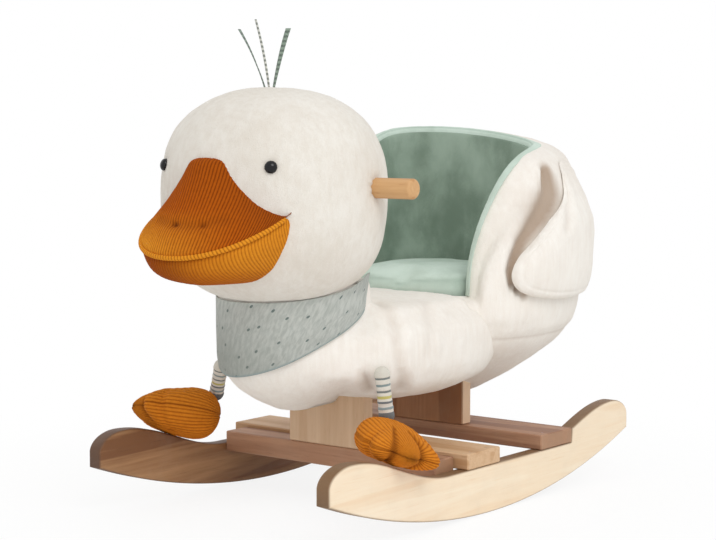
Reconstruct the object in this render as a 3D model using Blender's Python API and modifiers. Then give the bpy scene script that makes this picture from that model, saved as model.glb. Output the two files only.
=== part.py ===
# A toddler's rocking duck: a wooden rocker base, a padded bucket seat, a stuffed chest and head
# with a corduroy bill, a handle through the head, soft wings, dangling legs and a neckerchief.
# Metres. The duck looks along -Y, +X is its left side, +Z is up and the floor is at z = 0.

import math

import bmesh
import bpy
from mathutils import Euler, Matrix, Vector

MM = 0.001

# Clearance between touching pieces
GAP = 0.3 * MM

# Rockers
RUNNER_LENGTH = 600 * MM
RUNNER_RADIUS = 844 * MM
RUNNER_THICKNESS = 18 * MM
RUNNER_FACETS = 17
BASE_WIDTH = 347 * MM
WAIST_HEIGHT = 54.5 * MM
HORN_HEIGHT = 93.5 * MM
HORN_REACH = 262 * MM
FLAT_REACH = 88 * MM
HORN_DROP = 22 * MM

# Cross pieces and uprights
BAR_THICKNESS = 18 * MM
FRONT_BAR_Y = (-55 * MM, 10 * MM)
REAR_BAR_Y = (97 * MM, 166 * MM)
RAIL_Y = (-92 * MM, -56 * MM)
RAIL_TOP = 69 * MM
RAIL_HEIGHT = 24 * MM
UPRIGHT_THICKNESS = 18 * MM
FRONT_UPRIGHT_WIDTH = 110 * MM
REAR_UPRIGHT_WIDTH = 121 * MM

# Seat boards
SEAT_BOARD_UNDERSIDE = 195 * MM
SEAT_BOARD_THICKNESS = 15 * MM
SEAT_BOARD_WIDTH = 252 * MM
SEAT_BOARD_REAR = 240 * MM
SEAT_BOARD_STEP_Y = 60 * MM
WAIST_WIDTH = 204 * MM
TONGUE_WIDTH = 84 * MM
TONGUE_Y = (-186 * MM, -104 * MM)
BACK_BOARD_WIDTH = 156 * MM
BACK_BOARD_THICKNESS = 12 * MM
BACK_BOARD_Y = 225 * MM
BACK_BOARD_TOP = 392 * MM
SIDE_BOARD_THICKNESS = 9 * MM
SIDE_BOARD_X = 125 * MM
SIDE_BOARD_Y = (100 * MM, 188 * MM)
SIDE_BOARD_TOP = 305 * MM

# Padded bucket
SEAT_CENTRE_Y = 135 * MM
SHELL_HALF_WIDTH = 157 * MM
SHELL_REAR = 190 * MM
SHELL_FRONT = 130 * MM
SHELL_BOTTOM = 98 * MM
SHELL_WAIST = 200 * MM
RIM_BACK = 428 * MM
RIM_FRONT = 236 * MM
RIM_CORNER_DROP = 8 * MM
RIM_LEAN = 10 * MM
RIM_LEVEL_REACH = 72 * MM
RIM_FALL_REACH = 76 * MM
HOLLOW_HALF_WIDTH = 107 * MM
HOLLOW_REAR = 74 * MM
HOLLOW_FRONT = 95 * MM
HOLLOW_FLOOR = 222 * MM
LINING_THICKNESS = 4 * MM
LINING_SHARE = 0.965
LINING_END_ANGLE = 142
PIPING_RADIUS = 3 * MM
PIPING_INSET = 2 * MM
CUSHION_TOP = 265 * MM

# Chest, head, handle
CHEST_BOTTOM = 119 * MM
NECK_Y = -149 * MM
HEAD_CENTRE = Vector((0, -181.5 * MM, 364.5 * MM))
HEAD_HALF_WIDTH = 128 * MM
HEAD_HALF_LENGTH = 117 * MM
HEAD_RISE = 114 * MM
HEAD_DROP = 123 * MM
POST_WIDTH = 70 * MM
POST_THICKNESS = 34 * MM
POST_TOP = 408 * MM
HANDLE_DIAMETER = 22 * MM
HANDLE_LENGTH = 348 * MM
HANDLE_Y = -157 * MM
HANDLE_Z = 371 * MM

# Bill and eyes
WELT_RADIUS = 2.6 * MM
EYE_DIAMETER = 13.5 * MM
EYE_ANGLE = 36.5
EYE_Z = 395 * MM
SHANK_DIAMETER = 4 * MM
SHANK_LENGTH = 14 * MM
WASHER_DIAMETER = 16 * MM

# Kerchief
KERCHIEF_THICKNESS = 1.6 * MM
KERCHIEF_STAND_OFF = 0.5 * MM
KERCHIEF_POINT = (-85.5 * MM, 157.5 * MM)
KERCHIEF_SLOPE = 0.546
KERCHIEF_TURN = 25
KERCHIEF_STRIP = 227 * MM
KERCHIEF_END = 62 * MM
KERCHIEF_ROOM = Vector((700 * MM, 550 * MM, 150 * MM))

# Legs, feet, wings, ribbons
LEG_RADIUS = 8.5 * MM
HIP = {
    "left": Vector((122 * MM, -145 * MM, 169 * MM)),
    "right": Vector((112 * MM, -147 * MM, 157 * MM)),
}
ANKLE = Vector((125 * MM, -141 * MM, 124 * MM))
FOOT_CENTRE_AHEAD = 38 * MM
FOOT_CENTRE_BELOW = {"left": 23 * MM, "right": 26.5 * MM}
FOOT_TOE_REACH = 54 * MM
FOOT_HEEL_REACH = 45 * MM
FOOT_HALF_WIDTH = 42 * MM
FOOT_FAN = 0.2
TOE_BULGE = 5 * MM
TOE_SPACING = 38
FOOT_THICKNESS = {"left": 42 * MM, "right": 50 * MM}
FOOT_YAW = {"left": 58, "right": 44}
FOOT_PITCH = {"left": 6, "right": -8}
FOOT_ROLL = {"left": 18, "right": 18}
WING_THICKNESS = 19 * MM
WING_STAND_OFF = 1.3 * MM
WING_FADE = (335 * MM, 392 * MM)
WING_FLATTER = 0.6
WING_HINGE_ANGLE = 43
RIBBON_WIDTH = 6 * MM
RIBBON_THICKNESS = 1 * MM
RIBBON_TIPS = {
    "left": Vector((27 * MM, -188 * MM, 542 * MM)),
    "middle": Vector((-20 * MM, -188 * MM, 553 * MM)),
    "right": Vector((-44 * MM, -188 * MM, 543 * MM)),
}
RIBBON_ROOT_PITCH = 7 * MM
CROWN_FALL = 0.07

# Fasteners
SCREW_DIAMETER = 4 * MM
SCREW_HEAD_DIAMETER = 8 * MM
SCREW_LENGTH = 40 * MM
SCREW_SIDES = 8
UPRIGHT_SCREW_X = 34 * MM
DOWEL_DIAMETER = 6 * MM
DOWEL_LENGTH = 24 * MM
DOWEL_EDGE = 1 * MM
DOWEL_COVER = 2 * MM
EDGE_BEVEL = 1.2 * MM

BAR_TOP = WAIST_HEIGHT + GAP + BAR_THICKNESS
SEAT_BOARD_TOP = SEAT_BOARD_UNDERSIDE + SEAT_BOARD_THICKNESS
RUNNER_MIDDLE_X = (BASE_WIDTH - RUNNER_THICKNESS) / 2

COLOURS = {
    "plush": ((0.88, 0.83, 0.76), 0.95),
    "sage_velvet": ((0.15, 0.21, 0.17), 0.8),
    "mint_velvet": ((0.50, 0.66, 0.56), 0.8),
    "corduroy": ((0.52, 0.19, 0.03), 0.85),
    "kerchief_cotton": ((0.50, 0.60, 0.62), 0.9),
    "striped_jersey": ((0.62, 0.62, 0.52), 0.9),
    "ribbon_tape": ((0.35, 0.45, 0.36), 0.7),
    "beech": ((0.72, 0.50, 0.28), 0.5),
    "acacia": ((0.45, 0.25, 0.12), 0.5),
    "plywood": ((0.62, 0.47, 0.30), 0.6),
    "black_plastic": ((0.01, 0.01, 0.01), 0.15),
    "steel": ((0.55, 0.56, 0.58), 0.35),
}


def clear_scene():
    for old in list(bpy.data.objects):
        bpy.data.objects.remove(old, do_unlink=True)


def make_collection(name, hidden):
    made = bpy.data.collections.new(name)
    bpy.context.scene.collection.children.link(made)
    made.hide_render = hidden
    return made


def make_material(name):
    colour, roughness = COLOURS[name]
    made = bpy.data.materials.get(name) or bpy.data.materials.new(name)
    made.use_nodes = True
    shader = made.node_tree.nodes["Principled BSDF"]
    shader.inputs["Base Color"].default_value = (*colour, 1.0)
    shader.inputs["Roughness"].default_value = roughness
    shader.inputs["Metallic"].default_value = 1.0 if name == "steel" else 0.0
    made.diffuse_color = (*colour, 1.0)
    return made


def make_object(name, data, material, parent, place=Matrix()):
    """An object of the part, placed in its parent's frame."""
    made = bpy.data.objects.new(name, data)
    PARTS.objects.link(made)
    made.parent = parent
    made.matrix_basis = place
    if material:
        data.materials.append(make_material(material))
    return made


def make_pivot(name, parent, location):
    pivot = bpy.data.objects.new(name, None)
    PARTS.objects.link(pivot)
    pivot.parent = parent
    pivot.location = location
    return pivot


def make_cutter(name, data, parent=None, place=Matrix()):
    made = bpy.data.objects.new(name, data)
    CUTTERS.objects.link(made)
    made.parent = parent or ROOT
    made.matrix_basis = place
    made.hide_render = True
    made.display_type = "WIRE"
    return made


def cut(target, cutter):
    step = target.modifiers.new("cut_" + cutter.name, "BOOLEAN")
    step.operation = "DIFFERENCE"
    step.solver = "EXACT"
    step.object = cutter


def grown_copy(source, amount=GAP):
    """A cutter of the same form as the source, moved outwards by the clearance."""
    cutter = make_cutter("grown_" + source.name, source.data, source.parent, source.matrix_basis.copy())
    for modifier in source.modifiers:
        if modifier.type == "SUBSURF":
            smooth = cutter.modifiers.new("smooth", "SUBSURF")
            smooth.levels = smooth.render_levels = modifier.levels
        if modifier.type == "SCREW":
            turn_profile(cutter, modifier.steps)
    grow = cutter.modifiers.new("grow", "DISPLACE")
    grow.mid_level = 0.0
    grow.strength = amount
    return cutter


def box_mesh(name, low, high):
    low, high = Vector(low), Vector(high)
    shape = bmesh.new()
    bmesh.ops.create_cube(shape, size=1.0)
    bmesh.ops.scale(shape, vec=high - low, verts=shape.verts)
    bmesh.ops.translate(shape, vec=(low + high) / 2, verts=shape.verts)
    data = bpy.data.meshes.new(name)
    shape.to_mesh(data)
    shape.free()
    return data


def bevel_edges(target, width=EDGE_BEVEL):
    bevel = target.modifiers.new("rounded_edges", "BEVEL")
    bevel.width = width
    bevel.segments = 1
    bevel.limit_method = "ANGLE"
    bevel.angle_limit = math.radians(40)


def make_board(name, low, high, material):
    board = make_object(name, box_mesh(name, low, high), material, ROOT)
    bevel_edges(board)
    return board


def box_cutter(name, low, high, room=GAP):
    """A cutter for the slot that a board stands in, with room all round."""
    spread = Vector((room, room, room))
    return make_cutter(name, box_mesh(name, Vector(low) - spread, Vector(high) + spread))


def plate_mesh(name, outline, thickness, place):
    """A flat outline made solid, placed, and welded into one closed mesh."""
    curve = bpy.data.curves.new(name + "_outline", "CURVE")
    curve.dimensions = "2D"
    curve.fill_mode = "BOTH"
    curve.extrude = thickness / 2
    spline = curve.splines.new("POLY")
    spline.points.add(len(outline) - 1)
    for point, (along, up) in zip(spline.points, outline):
        point.co = (along, up, 0, 1)
    spline.use_cyclic_u = True
    helper = bpy.data.objects.new(name + "_outline", curve)
    bpy.context.scene.collection.objects.link(helper)
    data = bpy.data.meshes.new_from_object(helper.evaluated_get(bpy.context.evaluated_depsgraph_get()))
    bpy.data.objects.remove(helper, do_unlink=True)
    shape = bmesh.new()
    shape.from_mesh(data)
    bmesh.ops.remove_doubles(shape, verts=shape.verts, dist=0.00001)
    bmesh.ops.transform(shape, matrix=place, verts=shape.verts)
    bmesh.ops.recalc_face_normals(shape, faces=shape.faces)
    shape.to_mesh(data)
    shape.free()
    data.name = name
    return data


def turn_profile(target, steps):
    turn = target.modifiers.new("turn", "SCREW")
    turn.steps = turn.render_steps = steps
    turn.use_merge_vertices = True
    turn.merge_threshold = 0.00001
    turn.use_smooth_shade = True


def profile_mesh(name, profile, closed=False):
    """A line of (radius, height) points that runs down the outer side of a turned shape."""
    shape = bmesh.new()
    corners = [shape.verts.new((radius, 0, height)) for radius, height in profile]
    for first, second in zip(corners, corners[1:] + corners[:closed]):
        shape.edges.new((first, second))
    data = bpy.data.meshes.new(name)
    shape.to_mesh(data)
    shape.free()
    return data


def loft_mesh(name, rings):
    """A closed skin over rings of points, with a single point at each end."""
    shape = bmesh.new()
    rows = [[shape.verts.new(point) for point in ring] for ring in rings]
    for lower, upper in zip(rows, rows[1:]):
        count = max(len(lower), len(upper))
        for index in range(count):
            following = (index + 1) % count
            corners = [lower[index % len(lower)], lower[following % len(lower)]]
            corners += [upper[following % len(upper)], upper[index % len(upper)]]
            shape.faces.new(list(dict.fromkeys(corners)))
    bmesh.ops.triangulate(shape, faces=shape.faces)
    bmesh.ops.recalc_face_normals(shape, faces=shape.faces)
    data = bpy.data.meshes.new(name)
    shape.to_mesh(data)
    shape.free()
    data.shade_smooth()
    return data


def signed_power(value, power):
    return math.copysign(abs(value) ** power, value)


def oval(angle, half_x, front, rear, power):
    """A point of a rounded oval; the angle runs from +Y towards +X."""
    across = half_x * signed_power(math.sin(angle), 2 / power)
    along = signed_power(math.cos(angle), 2 / power)
    return across, along * (rear if along > 0 else front)


def turn_angles(count):
    return [2 * math.pi * index / count for index in range(count)]


def make_root():
    root = bpy.data.objects.new("rocking_duck", None)
    PARTS.objects.link(root)
    return root


def runner_bottom(y):
    """Height of the rocker's round foot, whose middle facet lies on the floor."""
    facet_half = RUNNER_LENGTH / RUNNER_FACETS / 2
    sag = RUNNER_RADIUS - math.sqrt(RUNNER_RADIUS**2 - y**2)
    return sag - (RUNNER_RADIUS - math.sqrt(RUNNER_RADIUS**2 - facet_half**2))


def runner_outline():
    half = RUNNER_LENGTH / 2
    points = []
    for step in range(RUNNER_FACETS + 1):
        y = -half + RUNNER_LENGTH * step / RUNNER_FACETS
        points.append((y, runner_bottom(y)))
    tip_steps, rise_steps = 4, 8
    top = []
    for step in range(tip_steps + 1):
        turn = math.pi / 2 * step / tip_steps
        height = HORN_HEIGHT - HORN_DROP * (1 - math.sin(turn))
        top.append((HORN_REACH + (half - HORN_REACH) * math.cos(turn), height))
    for step in range(1, rise_steps + 1):
        share = step / rise_steps
        ease = (1 + math.cos(math.pi * share)) / 2
        y = HORN_REACH + (FLAT_REACH - HORN_REACH) * share
        top.append((y, WAIST_HEIGHT + (HORN_HEIGHT - WAIST_HEIGHT) * ease))
    points += top
    points += [(-y, z) for y, z in reversed(top)]
    return points


def yz_plane(x):
    """Puts an outline drawn in X and Y into the Y-Z plane at x."""
    return Matrix(((0, 0, 1, x), (1, 0, 0, 0), (0, 1, 0, 0), (0, 0, 0, 1)))


def make_base():
    bars = {}
    for side, sign in (("left", 1), ("right", -1)):
        place = yz_plane(sign * RUNNER_MIDDLE_X)
        data = plate_mesh("runner_" + side, runner_outline(), RUNNER_THICKNESS, place)
        bars["runner_" + side] = make_object("runner_" + side, data, "beech", ROOT)
    half = BASE_WIDTH / 2
    seat_z = WAIST_HEIGHT + GAP
    for name, (front, rear) in (("front_crossbar", FRONT_BAR_Y), ("rear_crossbar", REAR_BAR_Y)):
        low, high = (-half, front, seat_z), (half, rear, BAR_TOP)
        bars[name] = make_board(name, low, high, "acacia")
        notch = box_cutter("notch_" + name, low, (half, rear, HORN_HEIGHT))
        for side in ("left", "right"):
            if max(-front, rear) > FLAT_REACH:
                cut(bars["runner_" + side], notch)
    inner = half - RUNNER_THICKNESS - GAP
    low, high = (-inner, RAIL_Y[0], RAIL_TOP - RAIL_HEIGHT), (inner, RAIL_Y[1], RAIL_TOP)
    bars["front_lower_rail"] = make_board("front_lower_rail", low, high, "acacia")
    return bars


def front_upright_box():
    half = FRONT_UPRIGHT_WIDTH / 2
    top = SEAT_BOARD_UNDERSIDE - GAP
    return (-half, RAIL_Y[0], RAIL_TOP + GAP), (half, RAIL_Y[0] + UPRIGHT_THICKNESS, top)


def rear_upright_box():
    half = REAR_UPRIGHT_WIDTH / 2
    top = SEAT_BOARD_UNDERSIDE - GAP
    return (-half, REAR_BAR_Y[0], BAR_TOP + GAP), (half, REAR_BAR_Y[0] + UPRIGHT_THICKNESS, top)


def seat_board_outline():
    """Right half from the front tongue round to the rear edge, then the same mirrored."""
    half, waist, tongue = SEAT_BOARD_WIDTH / 2, WAIST_WIDTH / 2, TONGUE_WIDTH / 2
    front, shoulder = TONGUE_Y
    step, rear, corner = SEAT_BOARD_STEP_Y, SEAT_BOARD_REAR, half / 3
    right = [(tongue, front), (tongue, shoulder), (waist, shoulder + (waist - tongue) / 2), (waist, step)]
    right += [(half, step + half - waist), (half, rear - corner), (half - corner, rear)]
    return right + [(-x, y) for x, y in reversed(right)]


def make_seat_frame():
    boards = {}
    boards["front_upright"] = make_board("front_upright", *front_upright_box(), "beech")
    boards["rear_upright"] = make_board("rear_upright", *rear_upright_box(), "acacia")
    middle = (SEAT_BOARD_UNDERSIDE + SEAT_BOARD_TOP) / 2
    place = Matrix.Translation((0, 0, middle))
    data = plate_mesh("seat_board", seat_board_outline(), SEAT_BOARD_THICKNESS, place)
    boards["seat_board"] = make_object("seat_board", data, "plywood", ROOT)
    foot = SEAT_BOARD_TOP + GAP
    half = BACK_BOARD_WIDTH / 2
    low, high = (-half, BACK_BOARD_Y, foot), (half, BACK_BOARD_Y + BACK_BOARD_THICKNESS, BACK_BOARD_TOP)
    boards["back_board"] = make_board("back_board", low, high, "plywood")
    for side, sign in (("left", 1), ("right", -1)):
        edges = sorted((sign * SIDE_BOARD_X, sign * (SIDE_BOARD_X - SIDE_BOARD_THICKNESS)))
        low, high = (edges[0], SIDE_BOARD_Y[0], foot), (edges[1], SIDE_BOARD_Y[1], SIDE_BOARD_TOP)
        boards["side_board_" + side] = make_board("side_board_" + side, low, high, "plywood")
    half = POST_WIDTH / 2
    low, high = (-half, HANDLE_Y - POST_THICKNESS / 2, foot), (half, HANDLE_Y + POST_THICKNESS / 2, POST_TOP)
    boards["neck_post"] = make_board("neck_post", low, high, "beech")
    return boards


def make_handle(boards):
    radius, half, edge = HANDLE_DIAMETER / 2, HANDLE_LENGTH / 2, 3 * MM
    profile = [(0, half), (radius - edge, half), (radius - edge * 0.3, half - edge * 0.3)]
    profile += [(radius, half - edge)]
    profile += [(r, -z) for r, z in reversed(profile)]
    place = Matrix.Translation((0, HANDLE_Y, HANDLE_Z)) @ Matrix.Rotation(math.pi / 2, 4, "Y")
    handle = make_object("handle", profile_mesh("handle", profile), "beech", ROOT, place)
    turn_profile(handle, 20)
    cut(boards["neck_post"], grown_copy(handle))
    return handle


def fall(share, power):
    """Runs from 1 down to 0 along a rounded corner as the share goes from 0 to 1."""
    share = max(0.0, min(1.0, share))
    return (1 - share**power) ** (1 / power)


def rim_height(angle):
    """Height of the bucket's rim: level round the back, then a round fall to the low front."""
    across, along = oval(angle, HOLLOW_HALF_WIDTH, HOLLOW_FRONT, HOLLOW_REAR, 3.8)
    side = across / HOLLOW_HALF_WIDTH
    back = RIM_BACK - RIM_CORNER_DROP * side**2 - RIM_LEAN * side
    share = (RIM_LEVEL_REACH - along) / (RIM_LEVEL_REACH + RIM_FALL_REACH)
    return RIM_FRONT + (back - RIM_FRONT) * fall(share, 2.3)


def shell_point(angle, scale, height):
    across, along = oval(angle, SHELL_HALF_WIDTH, SHELL_FRONT, SHELL_REAR, 2.2)
    return Vector((across * scale, SEAT_CENTRE_Y + along * scale, height))


def hollow_point(angle, inset, height):
    """A point of the bucket's inner wall, moved inwards by the inset."""
    size = (HOLLOW_HALF_WIDTH - inset, HOLLOW_FRONT - inset, HOLLOW_REAR - inset)
    across, along = oval(angle, *size, 3.8)
    return Vector((across, SEAT_CENTRE_Y + along, height))


SHELL_UNDERSIDE = ((110, 0.26), (120, 0.38), (135, 0.54), (152, 0.69), (170, 0.83), (188, 0.92))
SHELL_SIDE = ((0.0, 0.965), (0.15, 1.0), (0.5, 1.0), (0.7, 0.985), (0.85, 0.945), (0.94, 0.885))


def shell_angles():
    """Angles round the bucket, closer together where the rim falls."""
    count = 18
    bunch = math.radians(9)
    half = []
    for step in range(count + 1):
        angle = math.pi * step / count
        half.append(angle + bunch * math.sin(2 * angle))
    return half[:-1] + [2 * math.pi - angle for angle in reversed(half[1:])]


def make_seat_shell():
    angles = shell_angles()
    rings = [[Vector((0, SEAT_CENTRE_Y, SHELL_BOTTOM))]]
    for height, scale in SHELL_UNDERSIDE:
        rings.append([shell_point(angle, scale, height * MM) for angle in angles])
    for share, scale in SHELL_SIDE:
        ring = []
        for angle in angles:
            ring.append(shell_point(angle, scale, SHELL_WAIST + (rim_height(angle) - SHELL_WAIST) * share))
        rings.append(ring)
    crest, top, shoulder, wall, corner, floor = [], [], [], [], [], []
    for angle in angles:
        rim = rim_height(angle)
        depth = rim - HOLLOW_FLOOR
        edge = hollow_point(angle, -4 * MM, rim)
        outside = shell_point(angle, SHELL_SIDE[-1][1], rim)
        crest.append(outside.lerp(edge, 0.5) - Vector((0, 0, 1 * MM)))
        top.append(edge)
        shoulder.append(hollow_point(angle, 0, HOLLOW_FLOOR + depth * 0.93))
        wall.append(hollow_point(angle, 0, HOLLOW_FLOOR + depth * 0.5))
        corner.append(hollow_point(angle, 0.5 * MM, HOLLOW_FLOOR + 2 * MM))
        floor.append(hollow_point(angle, 5 * MM, HOLLOW_FLOOR))
    rings += [crest, top, shoulder, wall, corner, floor, [Vector((0, SEAT_CENTRE_Y, HOLLOW_FLOOR))]]
    return make_object("seat_shell", loft_mesh("seat_shell", rings), "plush", ROOT)


# Height, centre, neck radius, half width, reach to the front and reach to the rear, all in millimetres
CHEST_RINGS = (
    (121, -20, 20, 50, 44, 60),
    (128, -30, 36, 84, 64, 100),
    (137, -45, 52, 106, 84, 140),
    (148, -70, 66, 121, 91, 190),
    (162, -90, 76, 129, 101, 225),
    (180, -100, 83, 132, 99, 250),
    (198, -100, 85.5, 132, 87, 252),
    (213, -100, 86.5, 129, 65, 245),
    (227, -100, 86.5, 117, 45, 235),
    (237, -100, 86.5, 105, 25, 215),
    (242, -103, 86.5, 60, 14, 110),
    (252, -110, 86, 20, 10, 20),
    (264, -110, 84, 20, 10, 20),
)


def chest_point(angle, height, stand_off=0.0):
    """The chest's outline is an oval body that blends into the round neck in front of it."""
    rows = [[value * MM for value in row] for row in CHEST_RINGS]
    pair = next(((low, high) for low, high in zip(rows, rows[1:]) if height <= high[0]), rows[-2:])
    share = max(0.0, min(1.0, (height - pair[0][0]) / (pair[1][0] - pair[0][0])))
    middle, neck, half, front, rear = [low + (high - low) * share for low, high in zip(*pair)][1:]
    sine, cosine = math.sin(angle), math.cos(angle)
    reach, power = (rear, 3.5) if cosine > 0 else (front, 2.05)
    body = ((abs(sine) / half) ** power + (abs(cosine) / reach) ** power) ** (-1 / power)
    ahead = (middle - NECK_Y) * cosine
    inside = ahead**2 - (middle - NECK_Y) ** 2 + neck**2
    column = max(MM, math.sqrt(inside) - ahead) if inside > 0 else MM
    radius = (body**12 + column**12) ** (1 / 12) + stand_off
    return Vector((radius * sine, middle + radius * cosine, height))


def make_chest():
    angles = turn_angles(32)
    rings = [[chest_point(angle, row[0] * MM) for angle in angles] for row in CHEST_RINGS]
    rings = [[Vector((0, CHEST_RINGS[0][1] * MM, CHEST_BOTTOM))]] + rings + [bill_pole(rings[-1])]
    return make_object("chest", loft_mesh("chest", rings), "plush", ROOT)


def head_point(angle, height, stand_off=0.0):
    share = (height - HEAD_CENTRE.z) / (HEAD_RISE if height > HEAD_CENTRE.z else HEAD_DROP)
    size = fall(abs(share), 2.4 if share > 0 else 2.6)
    half, reach = HEAD_HALF_WIDTH * size + stand_off, HEAD_HALF_LENGTH * size + stand_off
    across, along = oval(angle, half, reach, reach, 2.06)
    return Vector((across, HEAD_CENTRE.y + along, height))


def make_head():
    angles, levels = turn_angles(28), 14
    rings = []
    for level in range(levels + 1):
        share = -math.cos(math.pi * level / levels)
        height = HEAD_CENTRE.z + share * (HEAD_RISE if share > 0 else HEAD_DROP)
        rings.append([head_point(angle, height) for angle in angles])
    rings[0], rings[-1] = bill_pole(rings[0]), bill_pole(rings[-1])
    return make_object("head", loft_mesh("head", rings), "plush", ROOT)


# Half width, front edge, height of the front edge, widest place and rise towards the head
BILL_RIM = (93, -352, 302, -257, 0.49)
BILL_UPPER = (
    (90.5, -349, 302.8, -257, 0.49),
    (93, -351, 306.5, -257, 0.47),
    (90, -346, 316, -258, 0.36),
    (78, -336, 336, -264, 0.18),
    (59, -323, 358, -270, 0.05),
    (40, -312, 381, -275, 0.0),
    (25, -304, 400, -279, 0.0),
    (16, -298, 404, -279, 0.0),
)
BILL_LOWER = (
    (26, -298, 271, -238, 0.0),
    (45, -314, 272, -240, 0.05),
    (68, -331, 275.5, -246, 0.2),
    (84, -344, 282.5, -252, 0.37),
    (91, -350, 293, -256, 0.46),
    (90, -349, 301.2, -257, 0.49),
)


def bill_ring(sides, half, front, height, widest, rise):
    """A tilted oval that starts at the bill's front edge and rises towards the head."""
    ring = []
    for angle in turn_angles(sides):
        across, along = oval(angle, half * MM, (widest - front) * MM, half * MM * 0.5, 2.15)
        y = widest * MM + along
        ring.append(Vector((across, y, height * MM + (y - front * MM) * rise)))
    return ring


def bill_pole(ring):
    return [sum(ring, Vector()) / len(ring)]


def make_bill(head):
    sides = 28
    halves = []
    for name, rows in (("beak_upper", BILL_UPPER), ("beak_lower", BILL_LOWER)):
        rings = [bill_ring(sides, *row) for row in rows]
        rings = [bill_pole(rings[0])] + rings + [bill_pole(rings[-1])]
        halves.append(make_object(name, loft_mesh(name, rings), "corduroy", ROOT))
    welt = make_welt(bill_ring(64, *BILL_RIM))
    skull, groove = grown_copy(head), grown_copy(welt)
    for half in halves:
        cut(half, groove)
    for piece in (*halves, welt):
        cut(piece, skull)


def tube_mesh(name, points, radius, sides_resolution):
    """A round tube along the points, with closed ends, as a welded mesh."""
    curve = bpy.data.curves.new(name + "_path", "CURVE")
    curve.dimensions = "3D"
    curve.bevel_depth = radius
    curve.bevel_resolution = sides_resolution
    curve.use_fill_caps = True
    spline = curve.splines.new("POLY")
    spline.points.add(len(points) - 1)
    for place, point in zip(spline.points, points):
        place.co = (*point, 1)
    helper = bpy.data.objects.new(name + "_path", curve)
    bpy.context.scene.collection.objects.link(helper)
    data = bpy.data.meshes.new_from_object(helper.evaluated_get(bpy.context.evaluated_depsgraph_get()))
    bpy.data.objects.remove(helper, do_unlink=True)
    shape = bmesh.new()
    shape.from_mesh(data)
    bmesh.ops.remove_doubles(shape, verts=shape.verts, dist=0.00001)
    bmesh.ops.recalc_face_normals(shape, faces=shape.faces)
    shape.to_mesh(data)
    shape.free()
    data.name = name
    return data


def make_welt(ring):
    """The welt follows the front three quarters of the bill's rim."""
    quarter = len(ring) // 4
    front = ring[quarter : 3 * quarter + 1]
    return make_object("beak_welt", tube_mesh("beak_welt", front, WELT_RADIUS, 1), "corduroy", ROOT)


def make_eyes(head):
    radius, shank, room = EYE_DIAMETER / 2, SHANK_DIAMETER / 2, 0.4 * MM
    dome = [(radius * math.sin(turn), radius * 0.7 * math.cos(turn)) for turn in (0, 0.45, 0.9, 1.3)]
    stem = [(radius, 0), (shank, -GAP), (shank, -SHANK_LENGTH), (0, -SHANK_LENGTH)]
    eye_data = profile_mesh("eye", dome + stem)
    hole, outer, thick = shank + GAP, WASHER_DIAMETER / 2, 1.5 * MM
    washer_data = profile_mesh("eye_washer", [(hole, thick), (outer, thick), (outer, 0), (hole, 0)], True)
    under = 5 * MM - SHANK_LENGTH
    over = under + thick
    socket = [(0, radius), (radius + room, radius), (radius + room, -room - GAP)]
    socket += [(shank + room, -room - GAP)]
    socket += [(shank + room, over + room), (outer + room, over + room), (outer + room, under - room)]
    socket += [(shank + room, under - room), (shank + room, -SHANK_LENGTH - room), (0, -SHANK_LENGTH - room)]
    for side, sign in (("left", 1), ("right", -1)):
        turned = math.radians(180 - sign * EYE_ANGLE)
        outward = Vector((math.sin(turned), math.cos(turned), 0.22)).normalized()
        seat = head_point(turned, EYE_Z, GAP * 2)
        place = Matrix.Translation(seat) @ outward.to_track_quat("Z", "Y").to_matrix().to_4x4()
        eye_material = "black_plastic" if not eye_data.materials else None
        turn_profile(make_object("eye_" + side, eye_data, eye_material, ROOT, place), 12)
        washer_place = place @ Matrix.Translation((0, 0, under))
        washer_material = "black_plastic" if not washer_data.materials else None
        washer = make_object("eye_washer_" + side, washer_data, washer_material, ROOT, washer_place)
        turn_profile(washer, 12)
        cutter = make_cutter("eye_socket_" + side, profile_mesh("eye_socket", socket), ROOT, place)
        turn_profile(cutter, 12)
        cut(head, cutter)


def make_cushion():
    sides = 24
    inset = LINING_THICKNESS + 2 * GAP + 1.2 * MM
    floor = HOLLOW_FLOOR + GAP + 0.2 * MM
    thick = CUSHION_TOP - floor
    levels = [(12, 0.0), (3, 0.06), (0, 0.3), (0, 0.55), (4, 0.78), (14, 0.92), (40, 0.99)]
    rings = [[Vector((0, SEAT_CENTRE_Y, floor))]]
    for drawn_in, share in levels:
        height = floor + thick * share
        rings.append([hollow_point(angle, inset + drawn_in * MM, height) for angle in turn_angles(sides)])
    rings.append([Vector((0, SEAT_CENTRE_Y, CUSHION_TOP))])
    return make_object("seat_cushion", loft_mesh("seat_cushion", rings), "mint_velvet", ROOT)


def make_lining():
    """A thin padded panel that stands against the bucket's inner wall."""
    end = math.radians(LINING_END_ANGLE)
    columns, rows = 30, 5
    front_inset = GAP + 0.5 * MM
    shape = bmesh.new()
    grid = []
    for column in range(columns + 1):
        angle = -end + 2 * end * column / columns
        top = HOLLOW_FLOOR + (rim_height(angle) - HOLLOW_FLOOR) * LINING_SHARE
        bottom = HOLLOW_FLOOR + 5 * MM
        line = []
        for row in range(rows + 1):
            height = bottom + (top - bottom) * row / rows
            line.append(shape.verts.new(hollow_point(angle, front_inset + LINING_THICKNESS / 2, height)))
        grid.append(line)
    for first, second in zip(grid, grid[1:]):
        for row in range(rows):
            shape.faces.new((first[row], second[row], second[row + 1], first[row + 1]))
    data = bpy.data.meshes.new("seat_lining")
    shape.to_mesh(data)
    shape.free()
    lining = make_object("seat_lining", data, "sage_velvet", ROOT)
    thicken = lining.modifiers.new("thickness", "SOLIDIFY")
    thicken.thickness = LINING_THICKNESS
    thicken.offset = 0.0
    thicken.use_even_offset = True
    return lining


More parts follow.
